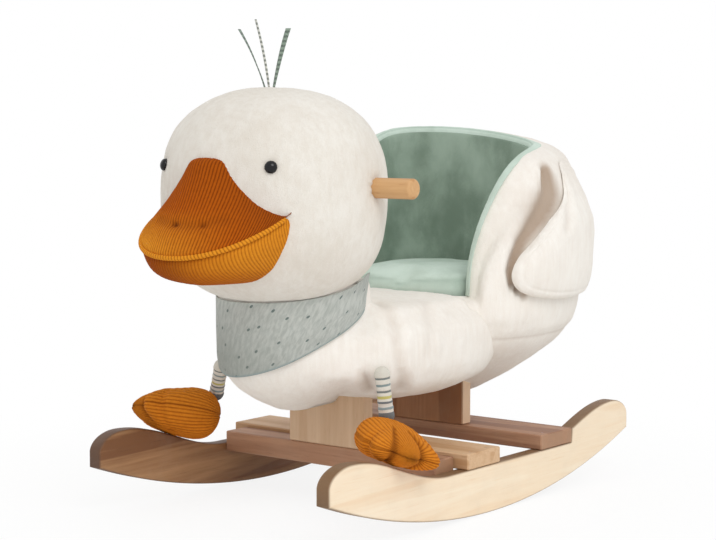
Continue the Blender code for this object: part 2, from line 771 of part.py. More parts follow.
def make_piping(shell, lining):
    end = math.radians(LINING_END_ANGLE)
    steps = 40
    path = []
    for step in range(steps + 1):
        angle = -end + 2 * end * step / steps
        top = HOLLOW_FLOOR + (rim_height(angle) - HOLLOW_FLOOR) * LINING_SHARE
        path.append(hollow_point(angle, PIPING_INSET, top + PIPING_RADIUS + 2 * GAP))
    data = tube_mesh("seat_piping", path, PIPING_RADIUS, 1)
    piping = make_object("seat_piping", data, "mint_velvet", ROOT)
    cut(lining, grown_copy(piping))
    cut(piping, grown_copy(shell))
    return piping


def make_kerchief(chest, head):
    """A thin skin over the chest, kept above a plane that is tilted and turned about the neck."""
    kerchief = make_object("kerchief", chest.data.copy(), None, ROOT)
    kerchief.data.materials.clear()
    kerchief.data.materials.append(make_material("kerchief_cotton"))
    grow = kerchief.modifiers.new("grow", "DISPLACE")
    grow.mid_level = 0.0
    grow.strength = KERCHIEF_STAND_OFF + KERCHIEF_THICKNESS
    width, length, room = KERCHIEF_ROOM
    point_y, point_z = KERCHIEF_POINT
    strip_y = point_y + (KERCHIEF_STRIP - point_z) / KERCHIEF_SLOPE
    front, top = point_y - room, KERCHIEF_STRIP + room / 2
    outline = [(front, 0), (length, 0), (length, top), (KERCHIEF_END, top), (KERCHIEF_END, KERCHIEF_STRIP)]
    outline += [(strip_y, KERCHIEF_STRIP), (front, point_z + (front - point_y) * KERCHIEF_SLOPE)]
    turned = Matrix.Translation((0, NECK_Y, 0)) @ Matrix.Rotation(math.radians(-KERCHIEF_TURN), 4, "Z")
    limit = make_cutter("kerchief_limit", plate_mesh("kerchief_limit", outline, width, turned @ yz_plane(0)))
    for cutter in (limit, grown_copy(head), grown_copy(chest, KERCHIEF_STAND_OFF)):
        cut(kerchief, cutter)
    return kerchief


def foot_outline(turned):
    """Radius of the foot's outline, with three toes across the front; 0 looks along the toes."""
    reach = FOOT_TOE_REACH if abs(turned) < math.pi / 2 else FOOT_HEEL_REACH
    oval_share = (abs(math.sin(turned)) / FOOT_HALF_WIDTH) ** 2.4 + (abs(math.cos(turned)) / reach) ** 2.4
    window = max(0.0, min(1.0, (math.radians(1.5 * TOE_SPACING + 6) - abs(turned)) / math.radians(12)))
    wave = math.cos(2 * math.pi * turned / math.radians(TOE_SPACING))
    return oval_share ** (-1 / 2.4) + TOE_BULGE * window * (wave - 0.2)


def make_foot(side, sign, ankle):
    sides, levels = 40, 8
    rings = []
    for level in range(levels + 1):
        tilt = -math.pi / 2 + math.pi * level / levels
        ring = []
        for turned in turn_angles(sides):
            turned = (turned + math.pi) % (2 * math.pi) - math.pi
            radius = foot_outline(turned) * max(0.0, math.cos(tilt)) ** 0.7
            ahead = radius * math.cos(turned)
            across = radius * math.sin(turned) * (1 + FOOT_FAN * ahead / FOOT_TOE_REACH)
            thick = FOOT_THICKNESS[side] / 2 * (1 - 0.3 * ahead / FOOT_TOE_REACH)
            height = thick * math.sin(tilt) - FOOT_CENTRE_BELOW[side]
            ring.append(Vector((across, -FOOT_CENTRE_AHEAD - ahead, height)))
        rings.append(bill_pole(ring) if level in (0, levels) else ring)
    yaw = Matrix.Rotation(math.radians(sign * FOOT_YAW[side]), 4, "Z")
    pitch = Matrix.Rotation(math.radians(FOOT_PITCH[side]), 4, "X")
    roll = Matrix.Rotation(math.radians(sign * FOOT_ROLL[side]), 4, "Y")
    data = loft_mesh("foot_" + side, rings)
    foot = make_object("foot_" + side, data, "corduroy", ankle, yaw @ pitch @ roll)
    cut(foot, make_cutter("ankle_cup_" + side, cup_mesh("ankle_cup"), ankle))
    return foot


def cup_mesh(name):
    """The round hollow that a leg's end sits in."""
    ball = bmesh.new()
    bmesh.ops.create_uvsphere(ball, u_segments=16, v_segments=10, radius=LEG_RADIUS + 2.5 * GAP)
    data = bpy.data.meshes.new(name)
    ball.to_mesh(data)
    ball.free()
    return data


def make_leg(side, sign, hip, chest):
    """A stuffed tube with round ends, centred on the hip and the ankle."""
    ankle_offset = ANKLE - HIP[side]
    length, steps = ankle_offset.length, 3
    profile = [(LEG_RADIUS * math.sin(t), LEG_RADIUS * math.cos(t)) for t in (0, 0.5, 1.0)]
    profile += [(LEG_RADIUS, 0)]
    profile += [(LEG_RADIUS * 0.94, -length * step / steps) for step in range(1, steps)]
    profile += [(LEG_RADIUS, -length)]
    profile += [(LEG_RADIUS * math.sin(t), -length - LEG_RADIUS * math.cos(t)) for t in (1.0, 0.5, 0)]
    down = Vector((sign * ankle_offset.x, ankle_offset.y, ankle_offset.z))
    place = (-down).to_track_quat("Z", "Y").to_matrix().to_4x4()
    leg = make_object("leg_" + side, profile_mesh("leg_" + side, profile), "striped_jersey", hip, place)
    turn_profile(leg, 12)
    cut(chest, make_cutter("hip_cup_" + side, cup_mesh("hip_cup"), hip))
    cut(chest, grown_copy(leg))
    return leg


def make_legs(chest):
    for side, sign in (("left", 1), ("right", -1)):
        hip_place, offset = HIP[side], ANKLE - HIP[side]
        hip = make_pivot("hip_" + side, ROOT, (sign * hip_place.x, hip_place.y, hip_place.z))
        make_leg(side, sign, hip, chest)
        ankle = make_pivot("ankle_" + side, hip, (sign * offset.x, offset.y, offset.z))
        make_foot(side, sign, ankle)


# Outline of a wing on the bucket's side: degrees from the rear and height in millimetres
WING_OUTLINE = (
    (72, 392), (77, 377), (80, 352), (91, 324), (103, 300), (112, 282), (116, 261), (111, 243),
    (96, 233), (75, 229), (58, 237), (48, 262), (44, 300), (47, 352), (58, 386),
)


def shell_scale(angle, height):
    """Share of the bucket's outline at a height up its outer side."""
    rows = [(z * MM, scale) for z, scale in SHELL_UNDERSIDE]
    rise = rim_height(angle) - SHELL_WAIST
    rows += [(SHELL_WAIST + rise * share, scale) for share, scale in SHELL_SIDE]
    for (low, first), (high, second) in zip(rows, rows[1:]):
        if height <= high:
            return first + (second - first) * max(0.0, (height - low) / (high - low))
    return rows[-1][1]


def side_point(angle, height, stand_off):
    """A point that stands off the bucket's outer side."""
    skin = shell_point(angle, shell_scale(angle, height), height)
    away = Vector((skin.x, skin.y - SEAT_CENTRE_Y, 0)).normalized()
    return skin + away * stand_off


# Share of the outline and of the thickness for the rings from a wing's inner to its outer middle
WING_SECTION = (
    (0, 0.0), (0.4, 0.0), (0.75, 0.0), (0.97, 0.12),
    (1, 0.3), (0.93, 0.62), (0.7, 0.88), (0.35, 1.0), (0, 1.0),
)


def make_wing(side, sign, shell):
    """A flat pillow that follows the bucket's side and keeps clear of it."""
    count = len(WING_OUTLINE)
    middle = [sum(point[axis] for point in WING_OUTLINE) / count for axis in (0, 1)]
    hinge = side_point(math.radians(WING_HINGE_ANGLE), middle[1] * MM, WING_STAND_OFF)
    pivot = make_pivot("wing_root_" + side, ROOT, (sign * hinge.x, hinge.y, hinge.z))
    rings = []
    for spread, thick in WING_SECTION:
        ring = []
        for place in WING_OUTLINE:
            degrees, height = [centre + (value - centre) * spread for centre, value in zip(middle, place)]
            rise = (height * MM - WING_FADE[0]) / (WING_FADE[1] - WING_FADE[0])
            full = WING_THICKNESS * (1 - WING_FLATTER * max(0.0, min(1.0, rise)))
            point = side_point(math.radians(degrees), height * MM, WING_STAND_OFF + full * thick)
            ring.append(Vector((sign * point.x, point.y, point.z)) - pivot.location)
        rings.append(ring if spread else ring[:1])
    wing = make_object("wing_" + side, loft_mesh("wing_" + side, rings), "plush", pivot)
    cut(wing, grown_copy(shell))
    return wing


def make_ribbons():
    for index, (name, tip) in enumerate(RIBBON_TIPS.items()):
        across = (1 - index) * RIBBON_ROOT_PITCH - 6 * MM
        crown = HEAD_CENTRE.z + HEAD_RISE - CROWN_FALL * abs(across)
        root = Vector((across, HEAD_CENTRE.y + (index - 1) * 2 * MM, crown + GAP))
        steps = 8
        shape = bmesh.new()
        previous = None
        for step in range(steps + 1):
            share = step / steps
            middle = root.lerp(tip, share)
            middle.x += (tip.x - root.x) * 0.35 * (share**2 - share)
            half = RIBBON_WIDTH / 2
            turn = 0.5 + 0.9 * share * (index - 1)
            edge = Vector((math.cos(turn), -math.sin(turn), 0)) * half
            pair = [shape.verts.new(middle - edge), shape.verts.new(middle + edge)]
            if previous:
                shape.faces.new((previous[0], previous[1], pair[1], pair[0]))
            previous = pair
        data = bpy.data.meshes.new("ribbon_" + name)
        shape.to_mesh(data)
        shape.free()
        ribbon = make_object("ribbon_" + name, data, "ribbon_tape", ROOT)
        thicken = ribbon.modifiers.new("thickness", "SOLIDIFY")
        thicken.thickness = RIBBON_THICKNESS
        thicken.offset = 0.0


def screw_profile(length):
    radius, head = SCREW_DIAMETER / 2, SCREW_HEAD_DIAMETER / 2
    tip = radius * 1.5
    return [(0, 0), (head, 0), (radius, -(head - radius)), (radius, tip - length), (0, -length)]


def make_screw(name, location, upwards, boards):
    """A countersunk screw whose head is flush with the face at the location."""
    face = -GAP if not upwards else GAP
    place = Matrix.Translation(Vector(location) + Vector((0, 0, face)))
    if upwards:
        place = place @ Matrix.Rotation(math.pi, 4, "X")
    data = bpy.data.meshes.get("screw") or profile_mesh("screw", screw_profile(SCREW_LENGTH))
    screw = make_object(name, data, None if data.materials else "steel", ROOT, place)
    turn_profile(screw, SCREW_SIDES)
    hole = grown_copy(screw, GAP * 1.2)
    for board in boards:
        cut(board, hole)
    return screw


def make_fasteners(bars, boards):
    inset = 16 * MM
    for bar, (front, rear) in (("front_crossbar", FRONT_BAR_Y), ("rear_crossbar", REAR_BAR_Y)):
        spots = [(sign, y) for sign in (1, -1) for y in (front + inset, rear - inset)]
        for index, (sign, y) in enumerate(spots):
            held = [bars[bar], bars["runner_left" if sign > 0 else "runner_right"]]
            make_screw(f"{bar}_screw_{index + 1}", (sign * RUNNER_MIDDLE_X, y, BAR_TOP), False, held)
    for side, sign in (("left", 1), ("right", -1)):
        profile = [(0, DOWEL_LENGTH / 2), (DOWEL_DIAMETER / 2 - DOWEL_EDGE, DOWEL_LENGTH / 2)]
        profile += [(DOWEL_DIAMETER / 2, DOWEL_LENGTH / 2 - DOWEL_EDGE)]
        profile += [(r, -z) for r, z in reversed(profile)]
        height = WAIST_HEIGHT - DOWEL_COVER - DOWEL_DIAMETER / 2
        spot = (sign * (BASE_WIDTH / 2 - RUNNER_THICKNESS), sum(RAIL_Y) / 2, height)
        place = Matrix.Translation(spot) @ Matrix.Rotation(math.pi / 2, 4, "Y")
        data = profile_mesh("rail_dowel_" + side, profile)
        dowel = make_object("rail_dowel_" + side, data, "beech", ROOT, place)
        turn_profile(dowel, 10)
        hole = grown_copy(dowel)
        cut(bars["front_lower_rail"], hole)
        cut(bars["runner_" + side], hole)
    front_y = RAIL_Y[0] + UPRIGHT_THICKNESS / 2
    rear_y = REAR_BAR_Y[0] + UPRIGHT_THICKNESS / 2
    for index, sign in enumerate((1, -1)):
        x = sign * UPRIGHT_SCREW_X
        rail, bar, seat = bars["front_lower_rail"], bars["rear_crossbar"], boards["seat_board"]
        front, rear = boards["front_upright"], boards["rear_upright"]
        foot = RAIL_TOP - RAIL_HEIGHT
        make_screw(f"front_upright_screw_{index + 1}", (x, front_y, foot), True, [rail, front])
        foot = WAIST_HEIGHT + GAP
        make_screw(f"rear_upright_screw_{index + 1}", (x, rear_y, foot), True, [bar, rear])
        top = SEAT_BOARD_TOP
        make_screw(f"seat_screw_{index + 1}", (x, front_y, top), False, [seat, front])
        make_screw(f"seat_screw_{index + 3}", (x, rear_y, top), False, [seat, rear])
        below = SEAT_BOARD_UNDERSIDE
        make_screw(f"neck_screw_{index + 1}", (x * 0.55, HANDLE_Y, below), True, [seat, boards["neck_post"]])
        back_y = BACK_BOARD_Y + BACK_BOARD_THICKNESS / 2
        make_screw(f"back_screw_{index + 1}", (x, back_y, below), True, [seat, boards["back_board"]])


def make_room_for_boards(chest, shell, head, boards):
    """Slots in the stuffing for the uprights, the seat board, the post and the boards."""
    top = SEAT_BOARD_TOP
    place = Matrix.Translation((0, 0, (SEAT_BOARD_UNDERSIDE + top) / 2))
    spread = 1 + 2 * GAP / TONGUE_WIDTH
    outline = [(x * spread, y * spread) for x, y in seat_board_outline()]
    slot = plate_mesh("seat_board_slot", outline, SEAT_BOARD_THICKNESS + 2 * GAP, place)
    slot = make_cutter("seat_board_slot", slot)
    room = GAP
    front = box_cutter("front_upright_slot", *front_upright_box(), room)
    rear = box_cutter("rear_upright_slot", *rear_upright_box(), room)
    half = POST_WIDTH / 2
    low = (-half, HANDLE_Y - POST_THICKNESS / 2, top)
    post = box_cutter("post_slot", low, (half, HANDLE_Y + POST_THICKNESS / 2, POST_TOP), room)
    half = BACK_BOARD_WIDTH / 2
    high = (half, BACK_BOARD_Y + BACK_BOARD_THICKNESS, BACK_BOARD_TOP)
    back = box_cutter("back_board_slot", (-half, BACK_BOARD_Y, top), high, room)
    side = HOLLOW_HALF_WIDTH + 20 * MM
    mouth_y = SEAT_CENTRE_Y - HOLLOW_FRONT
    low, high = (-side, mouth_y, HOLLOW_FLOOR), (side, SEAT_CENTRE_Y + HOLLOW_REAR, RIM_BACK)
    for cutter in (slot, front, post, box_cutter("bucket_space", low, high)):
        cut(chest, cutter)
    for cutter in (slot, rear, back):
        cut(shell, cutter)
    for side, sign in (("left", 1), ("right", -1)):
        edges = sorted((sign * SIDE_BOARD_X, sign * (SIDE_BOARD_X - SIDE_BOARD_THICKNESS)))
        low, high = (edges[0], SIDE_BOARD_Y[0], top), (edges[1], SIDE_BOARD_Y[1], SIDE_BOARD_TOP)
        cut(shell, box_cutter("side_board_slot_" + side, low, high, room))
    cut(head, post)


def centre_on_floor():
    """Moves the root so that the part's outline box is centred on the origin."""
    bpy.context.view_layer.update()
    graph = bpy.context.evaluated_depsgraph_get()
    reach = []
    for obj in PARTS.objects:
        if obj.type == "MESH":
            solid = obj.evaluated_get(graph)
            reach += [(solid.matrix_world @ vertex.co).y for vertex in solid.data.vertices]
    ROOT.location.y -= (min(reach) + max(reach)) / 2


clear_scene()
PARTS = make_collection("rocking_duck", False)
CUTTERS = make_collection("cutters", True)
ROOT = make_root()

base_bars = make_base()
frame_boards = make_seat_frame()
handle_bar = make_handle(frame_boards)
make_fasteners(base_bars, frame_boards)

shell_form = make_seat_shell()
chest_form = make_chest()
head_form = make_head()
cut(chest_form, grown_copy(shell_form))
cut(chest_form, grown_copy(head_form))
make_bill(head_form)
make_kerchief(chest_form, head_form)
make_cushion()
lining_form = make_lining()
make_piping(shell_form, lining_form)
make_legs(chest_form)
for wing_side, wing_sign in (("left", 1), ("right", -1)):
    make_wing(wing_side, wing_sign, shell_form)
make_ribbons()
make_room_for_boards(chest_form, shell_form, head_form, frame_boards)
cut(head_form, grown_copy(handle_bar))
make_eyes(head_form)
centre_on_floor()
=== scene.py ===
import math

import bpy
import numpy as np
from mathutils import Matrix, Vector


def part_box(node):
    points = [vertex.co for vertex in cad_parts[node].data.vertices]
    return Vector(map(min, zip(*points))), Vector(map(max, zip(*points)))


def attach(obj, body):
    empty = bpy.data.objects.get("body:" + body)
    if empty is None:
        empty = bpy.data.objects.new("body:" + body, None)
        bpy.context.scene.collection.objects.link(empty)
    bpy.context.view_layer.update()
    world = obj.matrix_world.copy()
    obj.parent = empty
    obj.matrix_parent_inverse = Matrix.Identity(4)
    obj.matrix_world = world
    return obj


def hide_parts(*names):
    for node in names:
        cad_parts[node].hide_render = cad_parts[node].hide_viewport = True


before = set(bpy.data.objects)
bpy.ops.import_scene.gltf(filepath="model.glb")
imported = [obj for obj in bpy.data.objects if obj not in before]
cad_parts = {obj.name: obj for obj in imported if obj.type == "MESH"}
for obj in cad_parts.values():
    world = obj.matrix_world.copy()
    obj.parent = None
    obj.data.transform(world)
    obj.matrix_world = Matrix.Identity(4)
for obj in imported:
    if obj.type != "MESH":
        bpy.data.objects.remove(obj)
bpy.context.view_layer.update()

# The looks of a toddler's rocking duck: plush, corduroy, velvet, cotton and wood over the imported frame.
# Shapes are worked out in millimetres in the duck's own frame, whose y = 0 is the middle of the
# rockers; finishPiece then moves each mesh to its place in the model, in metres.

mm = 0.001
sides = {"left": 1, "right": -1}
runnerLow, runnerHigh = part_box("runner_left")
ownShift = Vector((0, (runnerLow.y + runnerHigh.y) / 2, 0))


# Camera, floor and light

cameraSet = {"place": (1.2829, -1.65713, 0.4485), "yaw": 38.029, "pitch": 4.958, "lens": 89.76}
lightSet = {
    "world": 0.74, "target": (0, 0, 0.25),
    "key": {"place": (1.7, -1.1, 2.0), "size": 1.4, "power": 22.0},
    "fill": {"place": (-2.0, -0.6, 1.4), "size": 1.6, "power": 2.5},
}
floorSet = {
    "reach": 12, "colour": (0.97, 0.97, 0.96, 1), "roughness": 0.9, "clear": (0.22, 0.75), "least": 0.87,
}


def linkNew(name, data):
    # A new object for a mesh, a lamp or the camera, put into the scene
    thing = bpy.data.objects.new(name, data)
    bpy.context.scene.collection.objects.link(thing)
    return thing


def addCamera():
    # Turned by the yaw about the upright and by the pitch below the level line
    data = bpy.data.cameras.new("camera")
    data.lens = cameraSet["lens"]
    data.clip_end = 50
    camera = linkNew("camera", data)
    camera.location = cameraSet["place"]
    camera.rotation_euler = (math.radians(90 - cameraSet["pitch"]), 0, math.radians(cameraSet["yaw"]))
    bpy.context.scene.camera = camera


def addLamp(name):
    # A round soft lamp that looks at the target
    own = lightSet[name]
    data = bpy.data.lights.new(name, "AREA")
    data.shape = "DISK"
    data.size = own["size"]
    data.energy = own["power"]
    lamp = linkNew(name, data)
    lamp.location = own["place"]
    ahead = Vector(lightSet["target"]) - Vector(own["place"])
    lamp.rotation_euler = ahead.to_track_quat("-Z", "Y").to_euler()


# Node helpers

def addNode(tree, kind, settings=None, inputs=None):
    # A node with its settings, and its inputs given as values or as sockets to link
    node = tree.nodes.new(kind)
    for key, value in (settings or {}).items():
        setattr(node, key, value)
    for key, value in (inputs or {}).items():
        joinSocket(tree, value, node.inputs[key])
    return node


def joinSocket(tree, value, socket):
    # Links a socket, or sets a plain value
    if isinstance(value, bpy.types.NodeSocket):
        tree.links.new(value, socket)
    else:
        socket.default_value = value


def mathNode(tree, operation, *values, kind="ShaderNodeMath"):
    # The result of one operation on numbers
    node = addNode(tree, kind, {"operation": operation})
    for socket, value in zip(node.inputs, values):
        joinSocket(tree, value, socket)
    return node.outputs[0]


def vectorNode(tree, operation, *values):
    # The result of one operation on vectors
    return mathNode(tree, operation, *values, kind="ShaderNodeVectorMath")


def storedValue(tree, name):
    # The value that keepValue gave each point
    return addNode(tree, "ShaderNodeAttribute", {"attribute_name": name}).outputs["Fac"]


def heightOf(tree, place):
    # The height of a place
    return addNode(tree, "ShaderNodeSeparateXYZ", None, {"Vector": place}).outputs["Z"]


def mixColour(tree, factor, first, second, blend="MIX"):
    # The first colour at factor 0, the second at factor 1, or their product
    node = tree.nodes.new("ShaderNodeMix")
    node.data_type = "RGBA"
    node.blend_type = blend
    joinSocket(tree, factor, node.inputs[0])
    joinSocket(tree, first, node.inputs[6])
    joinSocket(tree, second, node.inputs[7])
    return node.outputs[2]


def rangeNode(tree, value, low, high, newLow=0.0, newHigh=1.0):
    # Turns low..high smoothly into newLow..newHigh
    node = addNode(tree, "ShaderNodeMapRange", {"interpolation_type": "SMOOTHSTEP"})
    for key, given in (("Value", value), ("From Min", low), ("From Max", high)):
        joinSocket(tree, given, node.inputs[key])
    node.inputs["To Min"].default_value = newLow
    node.inputs["To Max"].default_value = newHigh
    return node.outputs[0]


def noiseNode(tree, vector, scale, detail=3.0, roughness=0.55, distortion=0.0):
    # Cloudy noise between 0 and 1
    inputs = {"Vector": vector, "Scale": scale, "Detail": detail}
    inputs.update({"Roughness": roughness, "Distortion": distortion})
    return addNode(tree, "ShaderNodeTexNoise", None, inputs).outputs["Fac"]


def tone(red, green, blue):
    # A screen colour from 0 to 255, turned into the light that it stands for
    share = np.array((red, green, blue)) / 255
    light = np.where(share <= 0.04045, share / 12.92, ((share + 0.055) / 1.055) ** 2.4)
    return (*light.tolist(), 1.0)


def seenAs(tree, kinds):
    # 1 for the rays that show the background, 0 for those that light the duck
    path = addNode(tree, "ShaderNodeLightPath")
    seen = path.outputs[kinds[0]]
    for kind in kinds[1:]:
        seen = mathNode(tree, "MAXIMUM", seen, path.outputs[kind])
    return seen


def addFloor():
    # A pale floor that turns to plain white away from the duck, so no horizon shows
    reach = floorSet["reach"]
    mesh = bpy.data.meshes.new("floor")
    corners = [(-reach, -reach, 0), (reach, -reach, 0), (reach, reach, 0), (-reach, reach, 0)]
    mesh.from_pydata(corners, [], [(0, 1, 2, 3)])
    floor = linkNew("floor", mesh)
    material = bpy.data.materials.new("floor_paper")
    material.use_nodes = True
    tree = material.node_tree
    shader = tree.nodes["Principled BSDF"]
    shader.inputs["Base Color"].default_value = floorSet["colour"]
    shader.inputs["Roughness"].default_value = floorSet["roughness"]
    place = addNode(tree, "ShaderNodeTexCoord").outputs["Object"]
    distance = addNode(tree, "ShaderNodeVectorMath", {"operation": "LENGTH"}, {0: place}).outputs["Value"]
    clear = rangeNode(tree, distance, *floorSet["clear"], floorSet["least"], 1.0)
    glow = addNode(tree, "ShaderNodeEmission", None, {"Color": (1, 1, 1, 1), "Strength": 1.0})
    share = mathNode(tree, "MULTIPLY", seenAs(tree, ("Is Camera Ray", "Is Glossy Ray")), clear)
    blend = addNode(tree, "ShaderNodeMixShader", None, {"Fac": share})
    tree.links.new(shader.outputs[0], blend.inputs[1])
    tree.links.new(glow.outputs[0], blend.inputs[2])
    tree.links.new(blend.outputs[0], tree.nodes["Material Output"].inputs["Surface"])
    mesh.materials.append(material)


def addWorld():
    # White where the background is seen, and a plain pale light on the duck
    world = bpy.data.worlds.new("studio")
    bpy.context.scene.world = world
    world.use_nodes = True
    tree = world.node_tree
    seen = seenAs(tree, ("Is Camera Ray", "Is Glossy Ray", "Is Transmission Ray"))
    strength = mathNode(tree, "MULTIPLY_ADD", seen, 1 - lightSet["world"], lightSet["world"])
    tree.nodes["Background"].inputs["Color"].default_value = (1, 1, 1, 1)
    tree.links.new(strength, tree.nodes["Background"].inputs["Strength"])


bpy.context.scene.view_settings.view_transform = "Standard"
addCamera()
addFloor()
addWorld()
addLamp("key")
addLamp("fill")
print("camera, floor and light are in place")


# Shapes worked out as whole arrays

def signedPower(values, power):
    # Keeps the sign of each value and raises its size to the power
    return np.sign(values) * np.abs(values) ** power


def fallOff(share, power):
    # Runs from 1 down to 0 along a rounded corner as the share goes from 0 to 1
    share = np.clip(share, 0, 1)
    return (1 - share**power) ** (1 / power)


def unit(vectors):
    # The same directions, each one long
    return vectors / np.linalg.norm(vectors, axis=-1, keepdims=True)


def pointsAt(x, y, z):
    # Rows of points from their three parts
    return np.stack(np.broadcast_arrays(x, y, z), -1)


def ovalPlan(angle, halfX, front, rear, power):
    # A rounded oval: sine and cosine raised to 2 / power; the angle runs from +Y towards +X
    along = signedPower(np.cos(angle), 2 / power)
    return halfX * signedPower(np.sin(angle), 2 / power), along * np.where(along > 0, rear, front)


def smoothRows(rows, steps):
    # Rows joined by curves that leave each row along the line through its two neighbours
    rows = np.asarray(rows, float)
    padded = np.concatenate((rows[:1], rows, rows[-1:]))
    before, start, end, after = (padded[first : len(rows) - 1 + first, None] for first in range(4))
    share = (np.arange(steps) / steps).reshape((1, steps) + (1,) * (rows.ndim - 1))
    bend = 2 * before - 5 * start + 4 * end - after + share * (3 * (start - end) + after - before)
    curve = start + 0.5 * share * (end - before + share * bend)
    return np.concatenate((curve.reshape((-1,) + rows.shape[1:]), rows[-1:]))


def smoothLoop(points, steps):
    # The same curve through points that close into a loop
    points = np.asarray(points, float)
    wrapped = np.concatenate((points[-2:], points, points[:3]))
    return smoothRows(wrapped, steps)[2 * steps : (2 + len(points)) * steps]


def turnAngles(count, offset=0.0):
    # Even steps round a full turn
    return 2 * np.pi * np.arange(count) / count + offset


def shareBetween(values, start, end):
    # 0 at the start value and 1 at the end value, straight between them
    return np.clip((values - start) / (end - start), 0, 1)


def onLeft(points):
    # Both sides' points laid on the duck's left side
    return np.column_stack((np.abs(points[:, 0]), points[:, 1:]))


def withPoles(values, first, last):
    # The values of a skin's rings, followed by those of its two poles
    return np.concatenate((np.asarray(values).ravel(), [first, last]))


def lumps(points, size, seed):
    # Soft unevenness: the mean of twelve sine waves, one size long, in seeded directions
    chance = np.random.default_rng(seed)
    ways = unit(chance.normal(size=(12, 3)))
    phase = chance.uniform(0, 2 * np.pi, 12)
    return np.sin(points @ ways.T * (2 * np.pi / size) + phase).mean(1) * 2


def uneven(points, layers):
    # The sum of soft lumps, one layer for each size, seed and depth
    return sum(lumps(points, size, seed) * depth for size, seed, depth in layers)


def ribWave(ribs, pitch):
    # How far a rib stands out: the size of its sine to the power 0.7, less about its mean
    return np.abs(np.sin(np.pi * ribs / pitch)) ** 0.7 - 0.6


def nearPath(points, path):
    # Distance of every point from the nearest stretch of a path
    path = np.asarray(path, float)
    start, step = path[:-1], np.diff(path, axis=0)
    share = np.clip(((points[:, None] - start) * step).sum(2) / (step**2).sum(1), 0, 1)
    return np.linalg.norm(points[:, None] - start - share[..., None] * step, axis=2).min(1)


def bump(distance, width, height=1.0):
    # A bell of the given height at distance 0 that fades over the width
    return height * np.exp(-((distance / width) ** 2))


def skinMesh(name, rings, startPole=True, endPole=True):
    # Rings of points joined by quads that run round; a pole is the middle of its end ring
    count, around = rings.shape[:2]
    verts = rings.reshape(-1, 3)
    column = np.arange(around)
    following = (column + 1) % around
    row = np.arange(count - 1)[:, None] * around
    quads = np.stack((row + column, row + following, row + around + following, row + around + column), 2)
    faces = quads.reshape(-1, 4).tolist()
    if startPole:
        verts = np.concatenate((verts, rings[0].mean(0)[None]))
        faces += np.stack((following, column, np.full(around, len(verts) - 1)), 1).tolist()
    if endPole:
        verts = np.concatenate((verts, rings[-1].mean(0)[None]))
        last = (count - 1) * around
        faces += np.stack((last + column, last + following, np.full(around, len(verts) - 1)), 1).tolist()
    mesh = bpy.data.meshes.new(name)
    mesh.from_pydata(verts.tolist(), [], faces)
    pointOutwards(mesh)
    return mesh


def sheetMesh(name, grid):
    # A grid of points joined by quads, open at its four edges
    count, across = grid.shape[:2]
    row = np.arange(count - 1)[:, None] * across
    column = np.arange(across - 1)
    quads = np.stack((row + column, row + column + 1, row + across + column + 1, row + across + column), 2)
    mesh = bpy.data.meshes.new(name)
    mesh.from_pydata(grid.reshape(-1, 3).tolist(), [], quads.reshape(-1, 4).tolist())
    return mesh


def readPoints(mesh):
    # The mesh's points as an array of rows
    values = np.empty(len(mesh.vertices) * 3, np.float32)
    mesh.vertices.foreach_get("co", values)
    return values.reshape(-1, 3).astype(float)


def writePoints(mesh, points):
    # Moves the mesh's points to the rows of an array
    mesh.vertices.foreach_set("co", points.astype(np.float32).ravel())
    mesh.update()


def pointOutwards(mesh):
    # The sum of the tetrahedra from the origin to each triangle is the volume; below zero it is inside out
    mesh.calc_loop_triangles()
    corners = np.empty(len(mesh.loop_triangles) * 3, np.int32)
    mesh.loop_triangles.foreach_get("vertices", corners)
    first, second, third = readPoints(mesh)[corners.reshape(-1, 3)].transpose(1, 0, 2)
    if np.einsum("ij,ij->i", first, np.cross(second, third)).sum() < 0:
        mesh.flip_normals()


def pushOut(mesh, amounts):
    # Every point moves along its normal by its own amount
    normals = np.empty(len(mesh.vertices) * 3, np.float32)
    mesh.vertex_normals.foreach_get("vector", normals)
    writePoints(mesh, readPoints(mesh) + normals.reshape(-1, 3) * np.asarray(amounts)[:, None])


def keepValue(mesh, name, values):
    # Gives each point a value that the materials read
    layer = mesh.attributes.new(name, "FLOAT", "POINT")
    layer.data.foreach_set("value", np.asarray(values, np.float32))


def tubeRings(path, radii, sides, up=(0, 0, 1)):
    # Circles of the given radii across a path; each frame comes from the path's direction and one up vector
    path = np.asarray(path, float)
    ahead = unit(np.gradient(path, axis=0))
    side = unit(np.cross(ahead, up))
    top = np.cross(side, ahead)
    angle = turnAngles(sides)[None, :, None]
    radii = np.broadcast_to(radii, (len(path),))[:, None, None]
    return path[:, None] + radii * (side[:, None] * np.cos(angle) + top[:, None] * np.sin(angle))


def finishPiece(name, mesh, material, node, body="rocker_body"):
    # Moves a mesh to its place in the model and says what it is, rides on and stands for
    writePoints(mesh, readPoints(mesh) * mm + np.array(ownShift))
    mesh.name = name
    mesh.materials.append(material)
    mesh.shade_smooth()
    piece = linkNew(name, mesh)
    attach(piece, body)
    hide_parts(node)
    return piece


# Shader effects that several materials share

shadeAndHeight = [("Shade", "float"), ("Height", "float")]


def startGroup(name, inputs, outputs):
    # A node group with its named inputs, the coordinate first, and its outputs
    group = bpy.data.node_groups.new(name, "ShaderNodeTree")
    kinds = {"float": "NodeSocketFloat", "vector": "NodeSocketVector", "colour": "NodeSocketColor"}
    for label, kind, value in [("Coordinate", "vector", (0, 0, 0))] + inputs:
        socket = group.interface.new_socket(label, in_out="INPUT", socket_type=kinds[kind])
        socket.default_value = value
    for label, kind in outputs:
        group.interface.new_socket(label, in_out="OUTPUT", socket_type=kinds[kind])
    return group, group.nodes.new("NodeGroupInput").outputs, group.nodes.new("NodeGroupOutput").inputs


def useGroup(tree, group, inputs):
    # The group placed in a material, with its own values
    return addNode(tree, "ShaderNodeGroup", {"node_tree": group}, inputs).outputs


